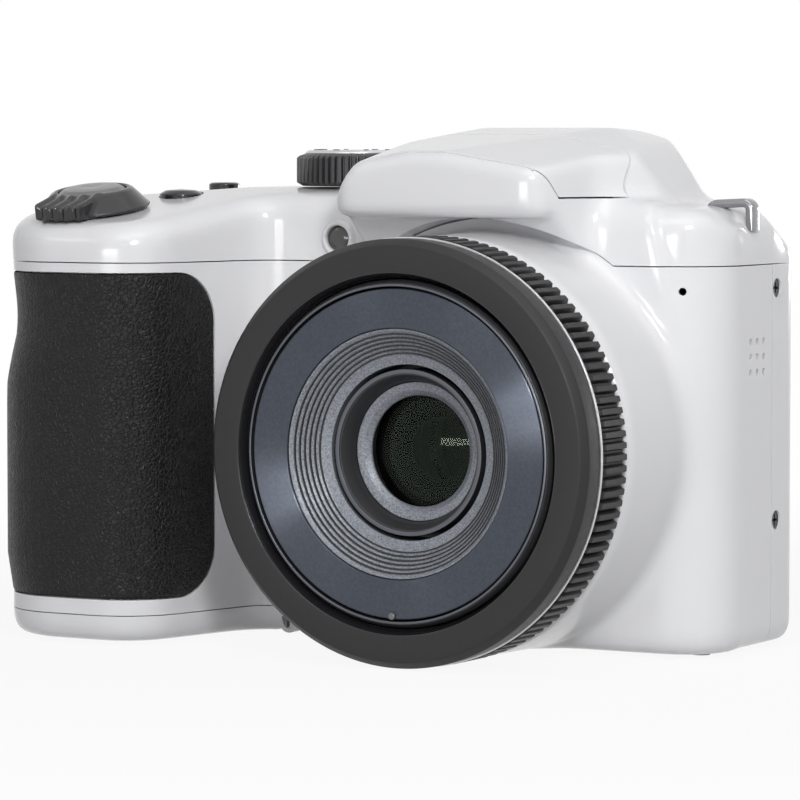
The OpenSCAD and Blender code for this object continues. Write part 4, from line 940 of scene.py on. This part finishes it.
def pale_floor():
    """A plain floor that is white to the camera, and keeps the object's shadow near it."""
    floor = make("floor", [(-4000, -4000, 0), (4000, -4000, 0), (4000, 4000, 0), (-4000, 4000, 0)], [(0, 1, 2, 3)])
    pale = bpy.data.materials.new("pale_floor")
    tree = new_tree(pale)
    out = node(tree, "ShaderNodeOutputMaterial")
    lit = node(tree, "ShaderNodeBsdfDiffuse", Color=(0.6, 0.6, 0.6, 1))
    white = node(tree, "ShaderNodeEmission", Color=(1, 1, 1, 1), Strength=1.0)
    reach = node(tree, "ShaderNodeVectorMath", operation="LENGTH")
    tree.links.new(node(tree, "ShaderNodeTexCoord").outputs["Object"], reach.inputs[0])
    fade = node(tree, "ShaderNodeMapRange", interpolation_type="SMOOTHSTEP")
    for key, value in (("From Min", 0.10), ("From Max", 0.32), ("To Min", 0.92), ("To Max", 1.0)):
        fade.inputs[key].default_value = value
    tree.links.new(reach.outputs["Value"], fade.inputs["Value"])
    share = node(tree, "ShaderNodeMath", operation="MULTIPLY")
    tree.links.new(backdrop_rays(tree), share.inputs[0])
    tree.links.new(fade.outputs["Result"], share.inputs[1])
    mixed(tree, share.outputs[0], lit, white, out.inputs["Surface"])
    floor.data.materials.append(pale)


def studio_world():
    """A dim room, lighter on the right, with a white background."""
    world = bpy.data.worlds.new("studio")
    bpy.context.scene.world = world
    tree = new_tree(world)
    out = node(tree, "ShaderNodeOutputWorld")
    dim = node(tree, "ShaderNodeBackground", Strength=1.0)
    across = node(tree, "ShaderNodeSeparateXYZ")
    tree.links.new(node(tree, "ShaderNodeTexCoord").outputs["Generated"], across.inputs[0])
    sides = node(tree, "ShaderNodeValToRGB")
    for stop, at, level in zip(sides.color_ramp.elements, (0.0, 1.0), (0.05, 0.42)):
        stop.position = at
        stop.color = (0.97 * level, 0.98 * level, level, 1)
    half = node(tree, "ShaderNodeMapRange")
    half.inputs["From Min"].default_value = -1.0
    tree.links.new(across.outputs["X"], half.inputs["Value"])
    tree.links.new(half.outputs["Result"], sides.inputs["Fac"])
    tree.links.new(sides.outputs["Color"], dim.inputs["Color"])
    white = node(tree, "ShaderNodeBackground", Color=(1, 1, 1, 1), Strength=1.0)
    mixed(tree, backdrop_rays(tree), dim, white, out.inputs["Surface"])


def softbox(name, place, aim, size, power):
    light = bpy.data.lights.new(name, "AREA")
    light.shape, light.size, light.size_y, light.energy = "RECTANGLE", size[0], size[1], power
    obj = bpy.data.objects.new(name, light)
    bpy.context.scene.collection.objects.link(obj)
    obj.location = place
    obj.rotation_euler = (Vector(aim) - Vector(place)).to_track_quat("-Z", "Y").to_euler()


pale_floor()
studio_world()
softbox("key", (0.32, -0.44, 0.26), (0, 0, 0.04), (0.085, 0.085), 1.35)
softbox("left", (-0.75, -0.80, 0.62), (-0.02, 0, 0.04), (0.14, 0.14), 0.26)
softbox("front", (0.0, -1.25, 0.085), (0, 0, 0.04), (0.6, 0.10), 2.2)
softbox("crown", (0.08, -0.20, 0.30), (0, -0.02, 0.08), (0.25, 0.15), 0.22)
softbox("rear", (0.15, 1.25, 0.12), (0, 0, 0.04), (0.4, 0.2), 2.6)
softbox("top", (0.30, 0.0, 0.90), (0, 0, 0.04), (0.9, 0.9), 1.2)

# Camera of the photograph, which has the middle of the lens's front at LENS_PIXEL
AZIMUTH, ELEVATION, DISTANCE = math.radians(29.3), math.radians(3.5), 0.687
PHOTO_SIZE, FOCAL, SENSOR = 800, 4464.0, 36.0
LENS_PIXEL = (393.0, 454.7)
side = Vector((math.cos(AZIMUTH), math.sin(AZIMUTH), 0))
back = Vector((math.sin(AZIMUTH) * math.cos(ELEVATION), -math.cos(AZIMUTH) * math.cos(ELEVATION), math.sin(ELEVATION)))
rise = back.cross(side)
lens_front = Vector((0, -0.049, LENS_Z * MM))
right, up = (LENS_PIXEL[0] - PHOTO_SIZE / 2) / FOCAL, (PHOTO_SIZE / 2 - LENS_PIXEL[1]) / FOCAL
data = bpy.data.cameras.new("camera")
data.sensor_width, data.lens = SENSOR, FOCAL * SENSOR / PHOTO_SIZE
data.clip_start, data.clip_end = 0.05, 20
camera = bpy.data.objects.new("camera", data)
bpy.context.scene.collection.objects.link(camera)
camera.location = lens_front - DISTANCE * (-back + side * right + rise * up)
camera.rotation_mode = "QUATERNION"
camera.rotation_quaternion = (-back).to_track_quat("-Z", "Y")
bpy.context.scene.camera = camera
bpy.context.scene.view_settings.view_transform = "Standard"
